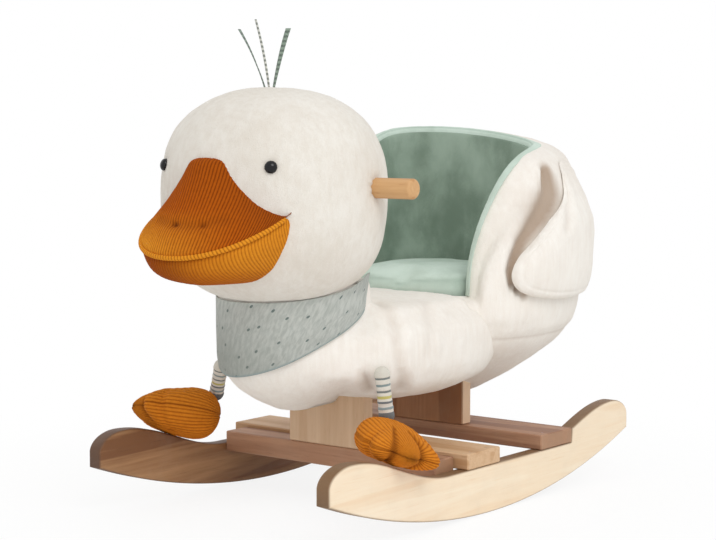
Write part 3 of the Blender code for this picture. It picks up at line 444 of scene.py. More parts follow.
def makePileGroup():
    # Pile: wide clouds, streaks along the nap and single fibres, mixed into a shade and a height
    inputs = [("Nap", "vector", (90, 90, 22)), ("Fibre", "float", 900)]
    group, given, made = startGroup("pileEffect", inputs, shadeAndHeight)
    spot = given["Coordinate"]
    nap = vectorNode(group, "MULTIPLY", spot, given["Nap"])
    clouds = noiseNode(group, spot, 14, 3)
    streaks = noiseNode(group, nap, 1, 4, 0.6, 0.3)
    fibres = noiseNode(group, spot, given["Fibre"], 2, 0.7)
    coarse = mathNode(group, "MULTIPLY_ADD", clouds, 0.45, mathNode(group, "MULTIPLY", streaks, 0.35))
    shade = mathNode(group, "MULTIPLY_ADD", fibres, 0.2, coarse)
    height = mathNode(group, "MULTIPLY_ADD", fibres, 0.6, mathNode(group, "MULTIPLY", streaks, 0.4))
    group.links.new(shade, made["Shade"])
    group.links.new(height, made["Height"])
    return group


def makeRibGroup():
    # Ribs: the size of the sine of the rib measure over the pitch, broken up by tufts and fluff
    inputs = [("Rib", "float", 0), ("Pitch", "float", 4), ("Tuft", "float", 260)]
    group, given, made = startGroup("ribEffect", inputs, shadeAndHeight)
    turn = mathNode(group, "DIVIDE", given["Rib"], given["Pitch"])
    wave = mathNode(group, "ABSOLUTE", mathNode(group, "SINE", mathNode(group, "MULTIPLY", turn, math.pi)))
    tufts = noiseNode(group, given["Coordinate"], given["Tuft"], 3, 0.6)
    fluff = noiseNode(group, given["Coordinate"], 1500, 2, 0.7)
    rough = mathNode(group, "MULTIPLY_ADD", tufts, 0.45, mathNode(group, "MULTIPLY", fluff, 0.25))
    crest = mathNode(group, "POWER", wave, 0.7)
    shade = mathNode(group, "MULTIPLY_ADD", crest, 0.5, mathNode(group, "MULTIPLY", rough, 0.85))
    group.links.new(shade, made["Shade"])
    group.links.new(mathNode(group, "MULTIPLY_ADD", rough, 0.8, crest), made["Height"])
    return group


def makeWeaveGroup():
    # Weave: threads across and along as the product of two sines, with slubs of noise
    group, given, made = startGroup("weaveEffect", [("Threads", "float", 3000)], shadeAndHeight)
    parts = addNode(group, "ShaderNodeSeparateXYZ", None, {"Vector": given["Coordinate"]}).outputs
    waves = []
    for part in (parts["X"], parts["Y"]):
        waves.append(mathNode(group, "SINE", mathNode(group, "MULTIPLY", part, given["Threads"])))
    cross = mathNode(group, "MULTIPLY", *waves)
    slubs = noiseNode(group, given["Coordinate"], 700, 3, 0.65)
    shade = mathNode(group, "MULTIPLY_ADD", cross, 0.2, slubs)
    group.links.new(shade, made["Shade"])
    group.links.new(mathNode(group, "MULTIPLY_ADD", slubs, 0.5, cross), made["Height"])
    return group


def makeGrainGroup():
    # Wood: growth bands from stretched noise, fine lines on top and short dark pores
    inputs = [("Stretch", "vector", (60, 3, 60)), ("Pale", "colour", (1, 1, 1, 1))]
    inputs += [("Dark", "colour", (0, 0, 0, 1)), ("Contrast", "float", 1)]
    outputs = [("Colour", "colour"), ("Rough", "float"), ("Height", "float")]
    group, given, made = startGroup("grainEffect", inputs, outputs)
    along = vectorNode(group, "MULTIPLY", given["Coordinate"], given["Stretch"])
    bands = noiseNode(group, along, 0.55, 3, 0.5, 0.6)
    lines = noiseNode(group, along, 5.0, 4, 0.65, 0.2)
    pores = noiseNode(group, vectorNode(group, "MULTIPLY", along, (9, 3.5, 9)), 1.6, 2, 0.5)
    rings = mathNode(group, "SINE", mathNode(group, "MULTIPLY", bands, 34))
    ringed = mathNode(group, "MULTIPLY_ADD", rings, 0.1, mathNode(group, "MULTIPLY_ADD", lines, 0.45, 0.28))
    wide = mathNode(group, "MULTIPLY_ADD", rangeNode(group, bands, 0.35, 0.68), 0.5, ringed)
    level = mathNode(group, "SUBTRACT", wide, 0.5)
    share = mathNode(group, "MULTIPLY_ADD", level, given["Contrast"], 0.5)
    share.node.use_clamp = True
    colour = mixColour(group, share, given["Pale"], given["Dark"])
    dots = rangeNode(group, pores, 0.62, 0.74)
    dark = mixColour(group, mathNode(group, "MULTIPLY", dots, 0.3), colour, given["Dark"], "MULTIPLY")
    group.links.new(dark, made["Colour"])
    group.links.new(mathNode(group, "MULTIPLY_ADD", lines, 0.3, 0.38), made["Rough"])
    group.links.new(mathNode(group, "MULTIPLY_ADD", dots, -0.6, lines), made["Height"])
    return group


def makeDustGroup():
    # Handling and dust: cloudy patches that gather low down and in a seeded few places
    group, given, made = startGroup("dustEffect", [("Top", "float", 0.25)], [("Mask", "float")])
    height = heightOf(group, given["Coordinate"])
    low = mathNode(group, "SUBTRACT", 1.0, mathNode(group, "DIVIDE", height, given["Top"]))
    low.node.use_clamp = True
    patches = rangeNode(group, noiseNode(group, given["Coordinate"], 19, 5, 0.65), 0.45, 0.75)
    share = mathNode(group, "MULTIPLY_ADD", low, 0.7, 0.3)
    group.links.new(mathNode(group, "MULTIPLY", patches, share), made["Mask"])
    return group


pileGroup = makePileGroup()
ribGroup = makeRibGroup()
weaveGroup = makeWeaveGroup()
grainGroup = makeGrainGroup()
dustGroup = makeDustGroup()


# Materials

def startMaterial(name, roughness=0.8, sheen=0.0, sheenTint=(1, 1, 1, 1), specular=0.5):
    # A material, its node tree, its shader with the plain values set, and the object's coordinates
    material = bpy.data.materials.new(name)
    material.use_nodes = True
    tree = material.node_tree
    shader = tree.nodes["Principled BSDF"]
    shader.inputs["Roughness"].default_value = roughness
    shader.inputs["Sheen Weight"].default_value = sheen
    shader.inputs["Sheen Roughness"].default_value = 0.5
    shader.inputs["Sheen Tint"].default_value = sheenTint
    shader.inputs["Specular IOR Level"].default_value = specular
    place = addNode(tree, "ShaderNodeTexCoord").outputs["Object"]
    return material, tree, shader, place


def addBump(tree, shader, height, distance, strength=1.0):
    # Fine relief over the shader's normal
    inputs = {"Height": height, "Distance": distance, "Strength": strength}
    node = addNode(tree, "ShaderNodeBump", None, inputs)
    tree.links.new(node.outputs[0], shader.inputs["Normal"])


def makePile(name, light, dark, nap, paintedShade=None, fibre=900, sheen=0.2, relief=0.0012, contrast=(0.35, 0.65)):
    # Plush and velvet: pale and dark pile by the pile's shade, with painted shade mixed in where the stored
    # shade value says
    material, tree, shader, place = startMaterial(name, 0.9, sheen, light, 0.2)
    pile = useGroup(tree, pileGroup, {"Coordinate": place, "Nap": nap, "Fibre": fibre})
    colour = mixColour(tree, rangeNode(tree, pile["Shade"], *contrast), dark, light)
    if paintedShade:
        # Painted shade: the pile darkens towards its shade colour in creases, seams, hollows and on sides
        # turned from the light
        colour = mixColour(tree, storedValue(tree, "paintedShade"), colour, paintedShade)
    dust = useGroup(tree, dustGroup, {"Coordinate": place, "Top": 0.3})
    colour = mixColour(tree, mathNode(tree, "MULTIPLY", dust["Mask"], 0.1), colour, tone(150, 135, 118))
    tree.links.new(colour, shader.inputs["Base Color"])
    addBump(tree, shader, pile["Height"], relief)
    return material


def makeCorduroy(name, light, dark, pitch, glow):
    # Corduroy: dark valleys and light crests, the valleys' darkness being painted shade; a painted golden
    # highlight goes on the crests where the stored highlight value says, and painted reddish shade where the
    # stored shade value says
    material, tree, shader, place = startMaterial(name, 0.85, 0.1, light, 0.1)
    inputs = {"Coordinate": place, "Rib": storedValue(tree, "rib"), "Pitch": pitch}
    cord = useGroup(tree, ribGroup, inputs)
    shade = rangeNode(tree, cord["Shade"], 0.3, 0.9)
    evened = mathNode(tree, "SUBTRACT", 0.62, shade)
    # The worn value evens the painted valley shade towards a middle tone
    calm = mathNode(tree, "MULTIPLY_ADD", evened, storedValue(tree, "worn"), shade)
    colour = mixColour(tree, calm, dark, light)
    # Painted highlight: the crests turn golden by the stored highlight value
    highlightShare = mathNode(tree, "MULTIPLY", cord["Shade"], storedValue(tree, "paintedHighlight"))
    highlighted = mixColour(tree, highlightShare, colour, glow)
    shaded = mixColour(tree, storedValue(tree, "paintedShade"), highlighted, tone(92, 38, 6))
    tree.links.new(shaded, shader.inputs["Base Color"])
    addBump(tree, shader, cord["Height"], 0.0006)
    return material


def makeWood(name, pale, dark, stretch, contrast=1.0, dusty=0.12, edge=None, ends=None):
    # Grained wood; the edge colour darkens the board's edges where the edge value says, partly a darker core
    # and partly painted shade; the ends colour is painted light, laid on the faces that look along one axis
    # towards the key lamp
    material, tree, shader, place = startMaterial(name, 0.5, 0.0, (1, 1, 1, 1), 0.4)
    inputs = {"Coordinate": place, "Stretch": stretch, "Pale": pale, "Dark": dark, "Contrast": contrast}
    grain = useGroup(tree, grainGroup, inputs)
    dust = useGroup(tree, dustGroup, {"Coordinate": place, "Top": 0.2})
    share = mathNode(tree, "MULTIPLY", dust["Mask"], dusty)
    colour = grain["Colour"]
    if edge:
        darkerEdge = mixColour(tree, 0.35, edge, colour, "MULTIPLY")
        colour = mixColour(tree, storedValue(tree, "edge"), colour, darkerEdge)
    if ends:
        # Painted light: the faces that look along the axis take the lit colour
        axis, litTint = ends
        facing = addNode(tree, "ShaderNodeTexCoord").outputs["Normal"]
        part = addNode(tree, "ShaderNodeSeparateXYZ", None, {"Vector": facing}).outputs[axis]
        litColour = mixColour(tree, 0.3, litTint, colour, "MULTIPLY")
        colour = mixColour(tree, rangeNode(tree, part, 0.6, 0.9), colour, litColour)
    tree.links.new(mixColour(tree, share, colour, tone(196, 184, 166)), shader.inputs["Base Color"])
    tree.links.new(mathNode(tree, "ADD", grain["Rough"], share), shader.inputs["Roughness"])
    addBump(tree, shader, grain["Height"], 0.0003, 0.6)
    return material


def makePlywood(name, pale, dark, layerTone, layer):
    # Plywood: a grained face, with its layers showing as bands over the height
    material, tree, shader, place = startMaterial(name, 0.6)
    inputs = {"Coordinate": place, "Stretch": (3, 50, 50), "Pale": pale, "Dark": dark}
    grain = useGroup(tree, grainGroup, inputs)
    layers = mathNode(tree, "MULTIPLY", heightOf(tree, place), 2 * math.pi / (layer * mm))
    banded = rangeNode(tree, mathNode(tree, "SINE", layers), 0.2, 0.9, 0, 0.35)
    tree.links.new(mixColour(tree, banded, grain["Colour"], layerTone), shader.inputs["Base Color"])
    tree.links.new(grain["Rough"], shader.inputs["Roughness"])
    addBump(tree, shader, grain["Height"], 0.0003, 0.6)
    return material


def makeSmooth(name, colour, roughness, metallic, scratch, specular=0.5):
    # Hard smooth finishes: fine scratches and smudges break up the gloss
    material, tree, shader, place = startMaterial(name, roughness, specular=specular)
    shader.inputs["Metallic"].default_value = metallic
    smudge = noiseNode(tree, place, 120, 4, 0.6)
    gloss = rangeNode(tree, smudge, 0.3, 0.7, roughness * 0.7, roughness * 1.6)
    tree.links.new(gloss, shader.inputs["Roughness"])
    worn = (*(min(1, value * 1.5 + 0.01) for value in colour[:3]), 1)
    dust = useGroup(tree, dustGroup, {"Coordinate": place, "Top": 0.5})
    tree.links.new(mixColour(tree, dust["Mask"], colour, worn), shader.inputs["Base Color"])
    addBump(tree, shader, noiseNode(tree, place, scratch, 3, 0.7), 0.0001, 0.3)
    return material


cordPitch = {"bill": 3.9, "foot": 4.4}
velvet = {"fibre": 1500, "sheen": 0.3, "relief": 0.0005, "contrast": (0.38, 0.62)}

# The last colour of plush_head, plush_body and mint_velvet is painted shade; the body's brown one paints the
# shadow in the cleft before each wing
plushHead = makePile(
    "plush_head", tone(239, 235, 227), tone(227, 220, 209), (150, 150, 60), tone(184, 168, 150)
)
plushBody = makePile(
    "plush_body", tone(253, 249, 242), tone(244, 237, 228), (170, 170, 26), tone(150, 116, 82)
)
sageVelvet = makePile("sage_velvet", tone(160, 178, 163), tone(120, 138, 123), (24, 24, 12), **velvet)
mintVelvet = makePile(
    "mint_velvet", tone(213, 229, 218), tone(194, 211, 198), (40, 40, 40), tone(150, 172, 158), **velvet
)
# The last colour of each corduroy is its painted highlight colour
billCord = makeCorduroy(
    "bill_corduroy", tone(188, 92, 8), tone(124, 52, 2), cordPitch["bill"], tone(240, 162, 44)
)
footCord = makeCorduroy(
    "foot_corduroy", tone(214, 126, 30), tone(158, 78, 10), cordPitch["foot"], tone(230, 154, 56)
)
beechNear = makeWood(
    "beech_near", tone(255, 244, 222), tone(243, 218, 186), (60, 3.2, 60), 0.9, edge=tone(128, 100, 72)
)
# The far rocker's beech is darker: partly a browner wood, partly painted shade under the duck
beechFarShaded = makeWood(
    "beech_far_shaded", tone(196, 152, 108), tone(124, 82, 50), (46, 2.6, 46), 1.3, edge=tone(110, 80, 58)
)
beechUp = makeWood("beech_upright", tone(232, 206, 176), tone(206, 172, 138), (60, 60, 3), 0.8)
beechBar = makeWood("beech_handle", tone(230, 190, 138), tone(192, 142, 92), (4, 90, 90), 0.9)
# The bars' faces that look towards the key take a plain lit tone, as painted light
acaciaBar = makeWood(
    "acacia_bar", tone(212, 166, 132), tone(146, 102, 76), (3, 56, 56), 1.1,
    ends=("X", tone(186, 146, 114)),
)
acaciaPale = makeWood("acacia_pale", tone(240, 210, 174), tone(196, 154, 112), (3, 56, 56), 1.0)
# The rear upright is a darker brown, partly painted shade under the duck's body, and its faces towards the
# key are painted pale, as lit
acaciaUpShaded = makeWood(
    "acacia_upright_shaded", tone(206, 152, 110), tone(146, 98, 64), (56, 56, 3), 1.1,
    ends=("X", tone(252, 226, 194)),
)
plywood = makePlywood("birch_plywood", tone(222, 196, 150), tone(176, 138, 92), tone(140, 104, 66), 3)
blackPlastic = makeSmooth("black_plastic", (0.006, 0.006, 0.007, 1), 0.14, 0.0, 300, 0.3)
steel = makeSmooth("bright_steel", (0.56, 0.57, 0.6, 1), 0.32, 1.0, 1400)
print("materials are made")


# Head

headSet = {
    "centre": (0, -181.5, 364.5), "half": 128, "length": 117, "rise": 114, "drop": 123,
    "plan": 2.06, "above": 2.4, "below": 2.6, "rows": 170, "columns": 240, "handle": (-157, 371),
    "collar": {"beyond": 60, "radius": 8, "bell": (12, 2.6), "folds": 9, "foldShare": 0.35},
    "collarShade": (9, 5, 0.35), "socket": (9, 1.6), "socketShade": (7, 0.4),
    "shade": 0.13, "shadeWay": (-0.45, -0.9, 0), "shadePower": 1.5, "seam": (1.6, 0.7, 0.25),
    "uneven": [(70, 11, 0.7), (19, 12, 0.22), (6, 13, 0.1)],
}
eyeSet = {
    "angle": 36.5, "z": 395, "diameter": 13.5, "dome": 0.7, "tilt": 0.22, "out": 0.3, "columns": 40,
    "neck": [(1, -0.6), (0.9, -1.1)], "shank": [(2, -1.2), (2, -9)],
}


def headRadius(points):
    # 1 on the head: plan radius and height share, each to the power of its half, added and under its root
    away = points - np.array(headSet["centre"])
    across, along = away[..., 0] / headSet["half"], away[..., 1] / headSet["length"]
    power = headSet["plan"]
    plan = (np.abs(across) ** power + np.abs(along) ** power) ** (1 / power)
    upper = away[..., 2] > 0
    share = np.abs(away[..., 2]) / np.where(upper, headSet["rise"], headSet["drop"])
    power = np.where(upper, headSet["above"], headSet["below"])
    return (plan**power + share**power) ** (1 / power)


def headPoints(angle, height):
    # A rounded oval at each height, whose size falls off along a rounded corner above and below the centre
    over = height - headSet["centre"][2]
    share = np.abs(over / np.where(over > 0, headSet["rise"], headSet["drop"]))
    size = np.where(over > 0, fallOff(share, headSet["above"]), fallOff(share, headSet["below"]))
    length = headSet["length"] * size
    across, along = ovalPlan(angle, headSet["half"] * size, length, length, headSet["plan"])
    return pointsAt(across, headSet["centre"][1] + along, height)


def eyeSeat(sign):
    # The place of an eye on the head and the direction that it looks in
    turned = math.radians(180 - sign * eyeSet["angle"])
    away = np.array((math.sin(turned), math.cos(turned), eyeSet["tilt"]))
    return headPoints(np.array(turned), np.array(float(eyeSet["z"]))), unit(away)


def makeHead():
    # A stuffed oval, drawn in at the handle's collars, the eyes and the back seam
    level = np.linspace(0, 1, headSet["rows"])[1:-1, None]
    share = -np.cos(np.pi * level)
    height = headSet["centre"][2] + share * np.where(share > 0, headSet["rise"], headSet["drop"])
    mesh = skinMesh("head", headPoints(turnAngles(headSet["columns"])[None], height))
    points = readPoints(mesh)
    handleY, handleZ = headSet["handle"]
    around = np.hypot(points[:, 1] - handleY, points[:, 2] - handleZ)
    turn = np.arctan2(points[:, 1] - handleY, points[:, 2] - handleZ)
    collar = headSet["collar"]
    beside = np.abs(points[:, 0]) > collar["beyond"]
    folds = 1 + collar["foldShare"] * np.cos(collar["folds"] * turn)
    push = -bump(around - collar["radius"], *collar["bell"]) * beside * folds
    # Painted shade round the handle's collars, in the eye sockets and along the back seam
    radius, width, depth = headSet["collarShade"]
    paintedShade = bump(around - radius, width, depth) * beside
    for sign in sides.values():
        near = np.linalg.norm(points - eyeSeat(sign)[0], axis=1)
        push -= bump(near, *headSet["socket"])
        paintedShade += bump(near, *headSet["socketShade"])
    # Painted shade on the head's front and far side, the side that the light leaves in shade
    facing = unit(points - headSet["centre"]) @ headSet["shadeWay"]
    paintedShade += headSet["shade"] * np.clip(facing, 0, 1) ** headSet["shadePower"]
    width, depth, paintedShadow = headSet["seam"]
    seam = bump(points[:, 0], width) * (points[:, 1] > headSet["centre"][1])
    push += uneven(points, headSet["uneven"]) - depth * seam
    keepValue(mesh, "paintedShade", np.clip(paintedShade + paintedShadow * seam, 0, 1))
    pushOut(mesh, push)
    finishPiece("plush_head_cover", mesh, plushHead, "head")


def makeEyes():
    # A dome on a short shank, turned about the line in which the eye looks
    radius = eyeSet["diameter"] / 2
    turn = np.linspace(0.03, math.pi / 2, 18)
    tail = [(radius * share, height) for share, height in eyeSet["neck"]] + eyeSet["shank"]
    dome = np.column_stack((radius * np.sin(turn), radius * eyeSet["dome"] * np.cos(turn)))
    wide, high = np.concatenate((dome, tail)).T
    for side, sign in sides.items():
        seat, away = eyeSeat(sign)
        across = unit(np.cross(away, (0, 0, 1)))
        over = np.cross(across, away)
        angle = turnAngles(eyeSet["columns"])[None, :, None]
        ring = wide[:, None, None] * (across * np.cos(angle) + over * np.sin(angle))
        rings = seat + away * eyeSet["out"] + high[:, None, None] * away + ring
        mesh = skinMesh("eye", rings)
        finishPiece("eye_bead_" + side, mesh, blackPlastic, "eye_" + side)


makeHead()
makeEyes()
print("head and eyes are made")


# Bill: half width, front edge, height of that edge, widest place and rise towards the head, row by row

billSet = {
    "rim": (89, -352, 302, -257, 0.49),
    "upper": [
        (82.5, -347, 304, -257, 0.49), (86.5, -349.5, 303.1, -257, 0.49), (89, -351, 306.5, -257, 0.47),
        (86.5, -346, 316, -258, 0.36), (75.5, -336, 336, -264, 0.18), (58, -323, 358, -270, 0.05),
        (40, -312, 381, -275, 0.0), (27, -305, 399, -279, 0.0), (18, -299, 403.5, -279, 0.0),
    ],
    "lower": [
        (26, -298, 271, -238, 0.0), (44, -314, 272, -240, 0.05), (66, -331, 275.5, -246, 0.2),
        (80.5, -344, 282.5, -252, 0.37), (87, -350, 293, -256, 0.46), (86, -349, 300.7, -257, 0.49),
        (79, -343, 301.5, -257, 0.49),
    ],
    "columns": 620, "steps": 12, "pitch": cordPitch["bill"], "ribDepth": 0.5, "power": 2.15,
    "buried": 0.965, "wider": 1.014, "aside": 3.2, "shade": 0.34,
    "spread": 1.35, "ribsFrom": (215, 245), "shadeFrom": (-332, -284), "uneven": [(48, 0.5), (5, 0.12)],
    "highlightAcross": (66, -44), "highlightUp": (352, 312), "worn": {"beak_upper": 0.2, "beak_lower": 0.75},
    "nostrils": [(-4, -335, 336), (30.5, -330, 336)], "nostrilShape": (0.75, 1, 1.3),
    "pit": (4.2, 3.2), "pitShade": (3.0, 0.75), "foldWidth": 5.5, "foldDepth": 1.8, "foldShade": 0.22,
    "lip": {"place": (8, -348, 319), "shape": (0.42, 1, 1), "bell": (15, 2.6)},
    "fold": [(-34, -328, 339), (-4, -335.5, 335), (16, -334.4, 334.5), (32, -330, 335.4), (50, -317, 340.5)],
}


def billRings(rows, angle):
    # Tilted ovals: each starts at its front edge and rises towards the head by the row's rise
    half, front, height, widest, rise = (rows[:, [index]] for index in range(5))
    power = 2 / billSet["power"]
    along = signedPower(np.cos(angle), power) * np.where(np.cos(angle) > 0, half * 0.5, widest - front)
    across = half * billSet["wider"] * signedPower(np.sin(angle), power) + billSet["aside"]
    y = widest + along
    return pointsAt(across, y, height + (y - front) * rise)


def makeBillHalf(name, rows, node, depth, seed):
    # Angles lie closest together at the front, where the ribs show
    spread = np.linspace(-1, 1, billSet["columns"], endpoint=False)
    angle = np.pi * (1 + signedPower(spread, billSet["spread"]))[None]
    keys = smoothRows(rows, billSet["steps"])
    rings = billRings(keys, angle)
    step = np.linalg.norm(np.roll(rings, -1, axis=1) - rings, axis=2)
    run = np.cumsum(step, axis=1) - step
    rib = run - run[:, [billSet["columns"] // 2]]
    mesh = skinMesh(name, rings)
    ribs = withPoles(rib, 0, 0)
    points = readPoints(mesh)
    push = depth * ribWave(ribs, billSet["pitch"]) * shareBetween(-points[:, 1], *billSet["ribsFrom"])
    for step, (size, height) in enumerate(billSet["uneven"]):
        push += lumps(points, size, seed + step) * height
    # Painted shade darkens the bill towards the head, and a painted highlight grows towards its far side and
    # its lower edge
    paintedShade = billSet["shade"] * shareBetween(points[:, 1], *billSet["shadeFrom"])
    paintedHighlight = shareBetween(points[:, 0], *billSet["highlightAcross"])
    paintedHighlight = paintedHighlight * shareBetween(points[:, 2], *billSet["highlightUp"])
    if node == "beak_upper":
        # Painted shade in the fold's valley and in the nostril pits
        valley = bump(nearPath(points, billSet["fold"]), billSet["foldWidth"])
        push -= billSet["foldDepth"] * valley
        paintedShade += billSet["foldShade"] * valley
        for spot in billSet["nostrils"]:
            near = np.linalg.norm((points - spot) * billSet["nostrilShape"], axis=1)
            push -= bump(near, *billSet["pit"])
            paintedShade += bump(near, *billSet["pitShade"])
        lip = billSet["lip"]
        push += bump(np.linalg.norm((points - lip["place"]) * lip["shape"], axis=1), *lip["bell"])
    else:
        # On the lower half the painted highlight grows towards the near side and the top, and painted shade
        # towards the far side
        paintedHighlight = np.clip(0.2 + points[:, 0] / 130, 0, 0.8) * shareBetween(points[:, 2], 262, 292)
        paintedShade = 0.32 * shareBetween(points[:, 0], 45, 0)
    keepValue(mesh, "rib", ribs)
    keepValue(mesh, "paintedShade", np.clip(paintedShade, 0, 0.9))
    keepValue(mesh, "paintedHighlight", paintedHighlight)
    keepValue(mesh, "worn", np.full(len(points), billSet["worn"][node]))
    pushOut(mesh, push)
    points = readPoints(mesh)
    inside = headRadius(points)
    centre = np.array(headSet["centre"])
    tucked = centre + (points - centre) * (billSet["buried"] / np.maximum(inside, 0.05))[:, None]
    writePoints(mesh, np.where((inside < billSet["buried"])[:, None], tucked, points))
    finishPiece(name, mesh, billCord, node)


weltSet = {"ends": (0.54, 1.46), "steps": 420, "columns": 20, "radius": 2.3, "least": 0.3, "power": 9}


def makeWelt():
    # A tube along the front half of the rim, thinner at its ends, with slanting ribs round it
    start, stop = weltSet["ends"]
    around = weltSet["columns"]
    angle = np.linspace(np.pi * start, np.pi * stop, weltSet["steps"])
    path = billRings(np.array([billSet["rim"]], float), angle[None])[0]
    length = np.concatenate(([0], np.cumsum(np.linalg.norm(np.diff(path, axis=0), axis=1))))
    endward = np.abs(length / length[-1] * 2 - 1)
    radii = weltSet["radius"] * fallOff(endward, weltSet["power"]) + weltSet["least"]
    mesh = skinMesh("bill_welt", tubeRings(path, radii, around))
    turn = np.tile(turnAngles(around), len(path)) * billSet["pitch"] / (2 * np.pi)
    ribs = withPoles(np.repeat(length, around) + turn, 0, 0)
    keepValue(mesh, "rib", ribs)
    keepValue(mesh, "paintedShade", np.zeros(len(ribs)))
    # A painted highlight along the whole welt
    keepValue(mesh, "paintedHighlight", np.full(len(ribs), 0.9))
    pushOut(mesh, 0.25 * (np.abs(np.sin(np.pi * ribs / billSet["pitch"])) - 0.6))
    finishPiece("bill_welt", mesh, billCord, "beak_welt")


makeBillHalf("bill_upper_cover", billSet["upper"], "beak_upper", billSet["ribDepth"], 21)
makeBillHalf("bill_lower_cover", billSet["lower"], "beak_lower", billSet["ribDepth"] * 0.3, 24)
makeWelt()
print("bill is made")


# Bucket: cover, lining, binding and cushion

bucketSet = {
    "centre": 135, "half": 157, "rear": 190, "front": 130, "waist": 200, "floor": 222,
    "power": 2.2, "hollowPower": 3.8, "rimPower": 2.3, "base": (0.1, 102.0),
    "walls": [(0, 0.93), (0, 0.5), (0.3, 0.1)], "floorInsets": (1.5, 30, 60),
    "under": [(110, 0.26), (120, 0.38), (135, 0.54), (152, 0.69), (170, 0.83), (188, 0.92)],
    "side": [(0.0, 0.965), (0.15, 1.0), (0.5, 1.0), (0.7, 0.985), (0.85, 0.945), (0.94, 0.885)],
    "rimBack": 428, "rimFront": 236, "rimDrop": 8, "rimLean": 10, "level": 72, "fall": 76,
    "hollow": (107, 95, 74), "columns": 420, "steps": 6,
    "cleft": [
        (142, 150, 384), (147, 147, 371), (150, 145, 357), (153, 136, 343), (153, 123, 329.5),
        (151, 105, 315), (147, 89, 299), (144, 81, 283), (143, 75, 266), (144, 77, 250), (150, 88, 241),
    ],
    "cleftDepth": 10, "cleftFrom": (112, 120), "edgeOut": -4,
    "uneven": [(24, 32, 0.3), (6, 33, 0.12)], "upperLumps": (85, 31), "upperDepth": 0.8, "upperFrom": 226,
    "backSeam": {"from": 230, "width": 1.4, "depth": 0.9, "paintedShade": 0.2},
    "lowSeam": {"from": 60, "height": 186, "wave": 3, "pitch": 40, "width": 1.5, "depth": 0.8, "paintedShade": 0.2},
    # The painted shadow in the cleft: how far it is shifted and widened, its strength and its greatest amount
    "paintedShadow": {"lower": (0, 4, 0), "wider": 1.25, "strength": 0.95, "most": 0.72},
    "cleftWidth": ((240, 266, 299, 315, 329, 343, 357, 371, 384), (4, 5, 6.5, 9, 13, 17, 16, 11, 6)),
}
liningSet = {
    "end": 142, "share": 0.98, "inset": 0.8, "thick": 4.6, "columns": 260, "around": 96, "bottom": 227,
    "powers": (0.25, 0.7), "uneven": [(60, 41, 0.7), (16, 42, 0.15)],
}


def rimHeight(angle):
    # Level round the back with lowered corners and a slight lean, then a rounded fall to the low front
    width, front, rear = bucketSet["hollow"]
    across, along = ovalPlan(angle, width, front, rear, bucketSet["hollowPower"])
    side = across / width
    back = bucketSet["rimBack"] - bucketSet["rimDrop"] * side**2 - bucketSet["rimLean"] * side
    share = (bucketSet["level"] - along) / (bucketSet["level"] + bucketSet["fall"])
    return bucketSet["rimFront"] + (back - bucketSet["rimFront"]) * fallOff(share, bucketSet["rimPower"])


def shellPoints(angle, scale, height):
    # The outer wall at a share of its full outline
    half, front, rear, power = (bucketSet[key] for key in ("half", "front", "rear", "power"))
    across, along = ovalPlan(angle, half, front, rear, power)
    return pointsAt(across * scale, bucketSet["centre"] + along * scale, height)


def hollowPoints(angle, inset, height):
    # The inner wall, moved inwards by the inset
    width, front, rear = bucketSet["hollow"]
    reach = (width - inset, front - inset, rear - inset)
    across, along = ovalPlan(angle, *reach, bucketSet["hollowPower"])
    return pointsAt(across, bucketSet["centre"] + along, height)


def bucketAngles(count):
    # Closer together where the rim falls
    angle = turnAngles(count)
    return angle + math.radians(9) * np.sin(2 * angle)


def makeBucket():
    # From the underside over the outer wall and the rim, down the hollow and across its floor
    angle = bucketAngles(bucketSet["columns"])
    rim = rimHeight(angle)
    keys = [shellPoints(angle, *bucketSet["base"])]
    keys += [shellPoints(angle, scale, float(height)) for height, scale in bucketSet["under"]]
    waist, floor = bucketSet["waist"], bucketSet["floor"]
    keys += [shellPoints(angle, scale, waist + (rim - waist) * share) for share, scale in bucketSet["side"]]
    depth = rim - floor
    edge = hollowPoints(angle, bucketSet["edgeOut"], rim)
    keys += [(shellPoints(angle, bucketSet["side"][-1][1], rim) + edge) / 2 - (0, 0, 1), edge]
    keys += [hollowPoints(angle, inset, floor + depth * share) for inset, share in bucketSet["walls"]]
    keys += [hollowPoints(angle, inset, np.full_like(rim, floor)) for inset in bucketSet["floorInsets"]]
    mesh = skinMesh("bucket", smoothRows(keys, bucketSet["steps"]))
    points = readPoints(mesh)
    mirrored = onLeft(points)
    width = np.interp(points[:, 2], *bucketSet["cleftWidth"])
    outer = shareBetween(mirrored[:, 0], *bucketSet["cleftFrom"])
    cleft = bump(nearPath(mirrored, bucketSet["cleft"]), width) * outer
    push = -bucketSet["cleftDepth"] * cleft
    back, low, paintedShadow = (bucketSet[key] for key in ("backSeam", "lowSeam", "paintedShadow"))
    backSeam = bump(points[:, 0], back["width"]) * (points[:, 1] > back["from"])
    line = low["height"] + low["wave"] * np.sin(points[:, 0] / low["pitch"])
    lowSeam = bump(points[:, 2] - line, low["width"]) * (points[:, 1] > low["from"])
    push -= back["depth"] * backSeam + low["depth"] * lowSeam
    upper = points[:, 2] > bucketSet["upperFrom"]
    push += bucketSet["upperDepth"] * lumps(points, *bucketSet["upperLumps"]) * upper
    push += uneven(points, bucketSet["uneven"])
    # Painted shadow in the cleft before the wing, a little lower and wider than the groove, and painted shade
    # along the back and low seams
    cleftShadow = bump(nearPath(mirrored - paintedShadow["lower"], bucketSet["cleft"]), paintedShadow["wider"] * width) * outer
    paintedShade = np.clip(paintedShadow["strength"] * cleftShadow, 0, paintedShadow["most"])
    keepValue(mesh, "paintedShade", paintedShade + back["paintedShade"] * backSeam + low["paintedShade"] * lowSeam)
    pushOut(mesh, push)
    finishPiece("plush_bucket_cover", mesh, plushBody, "seat_shell")


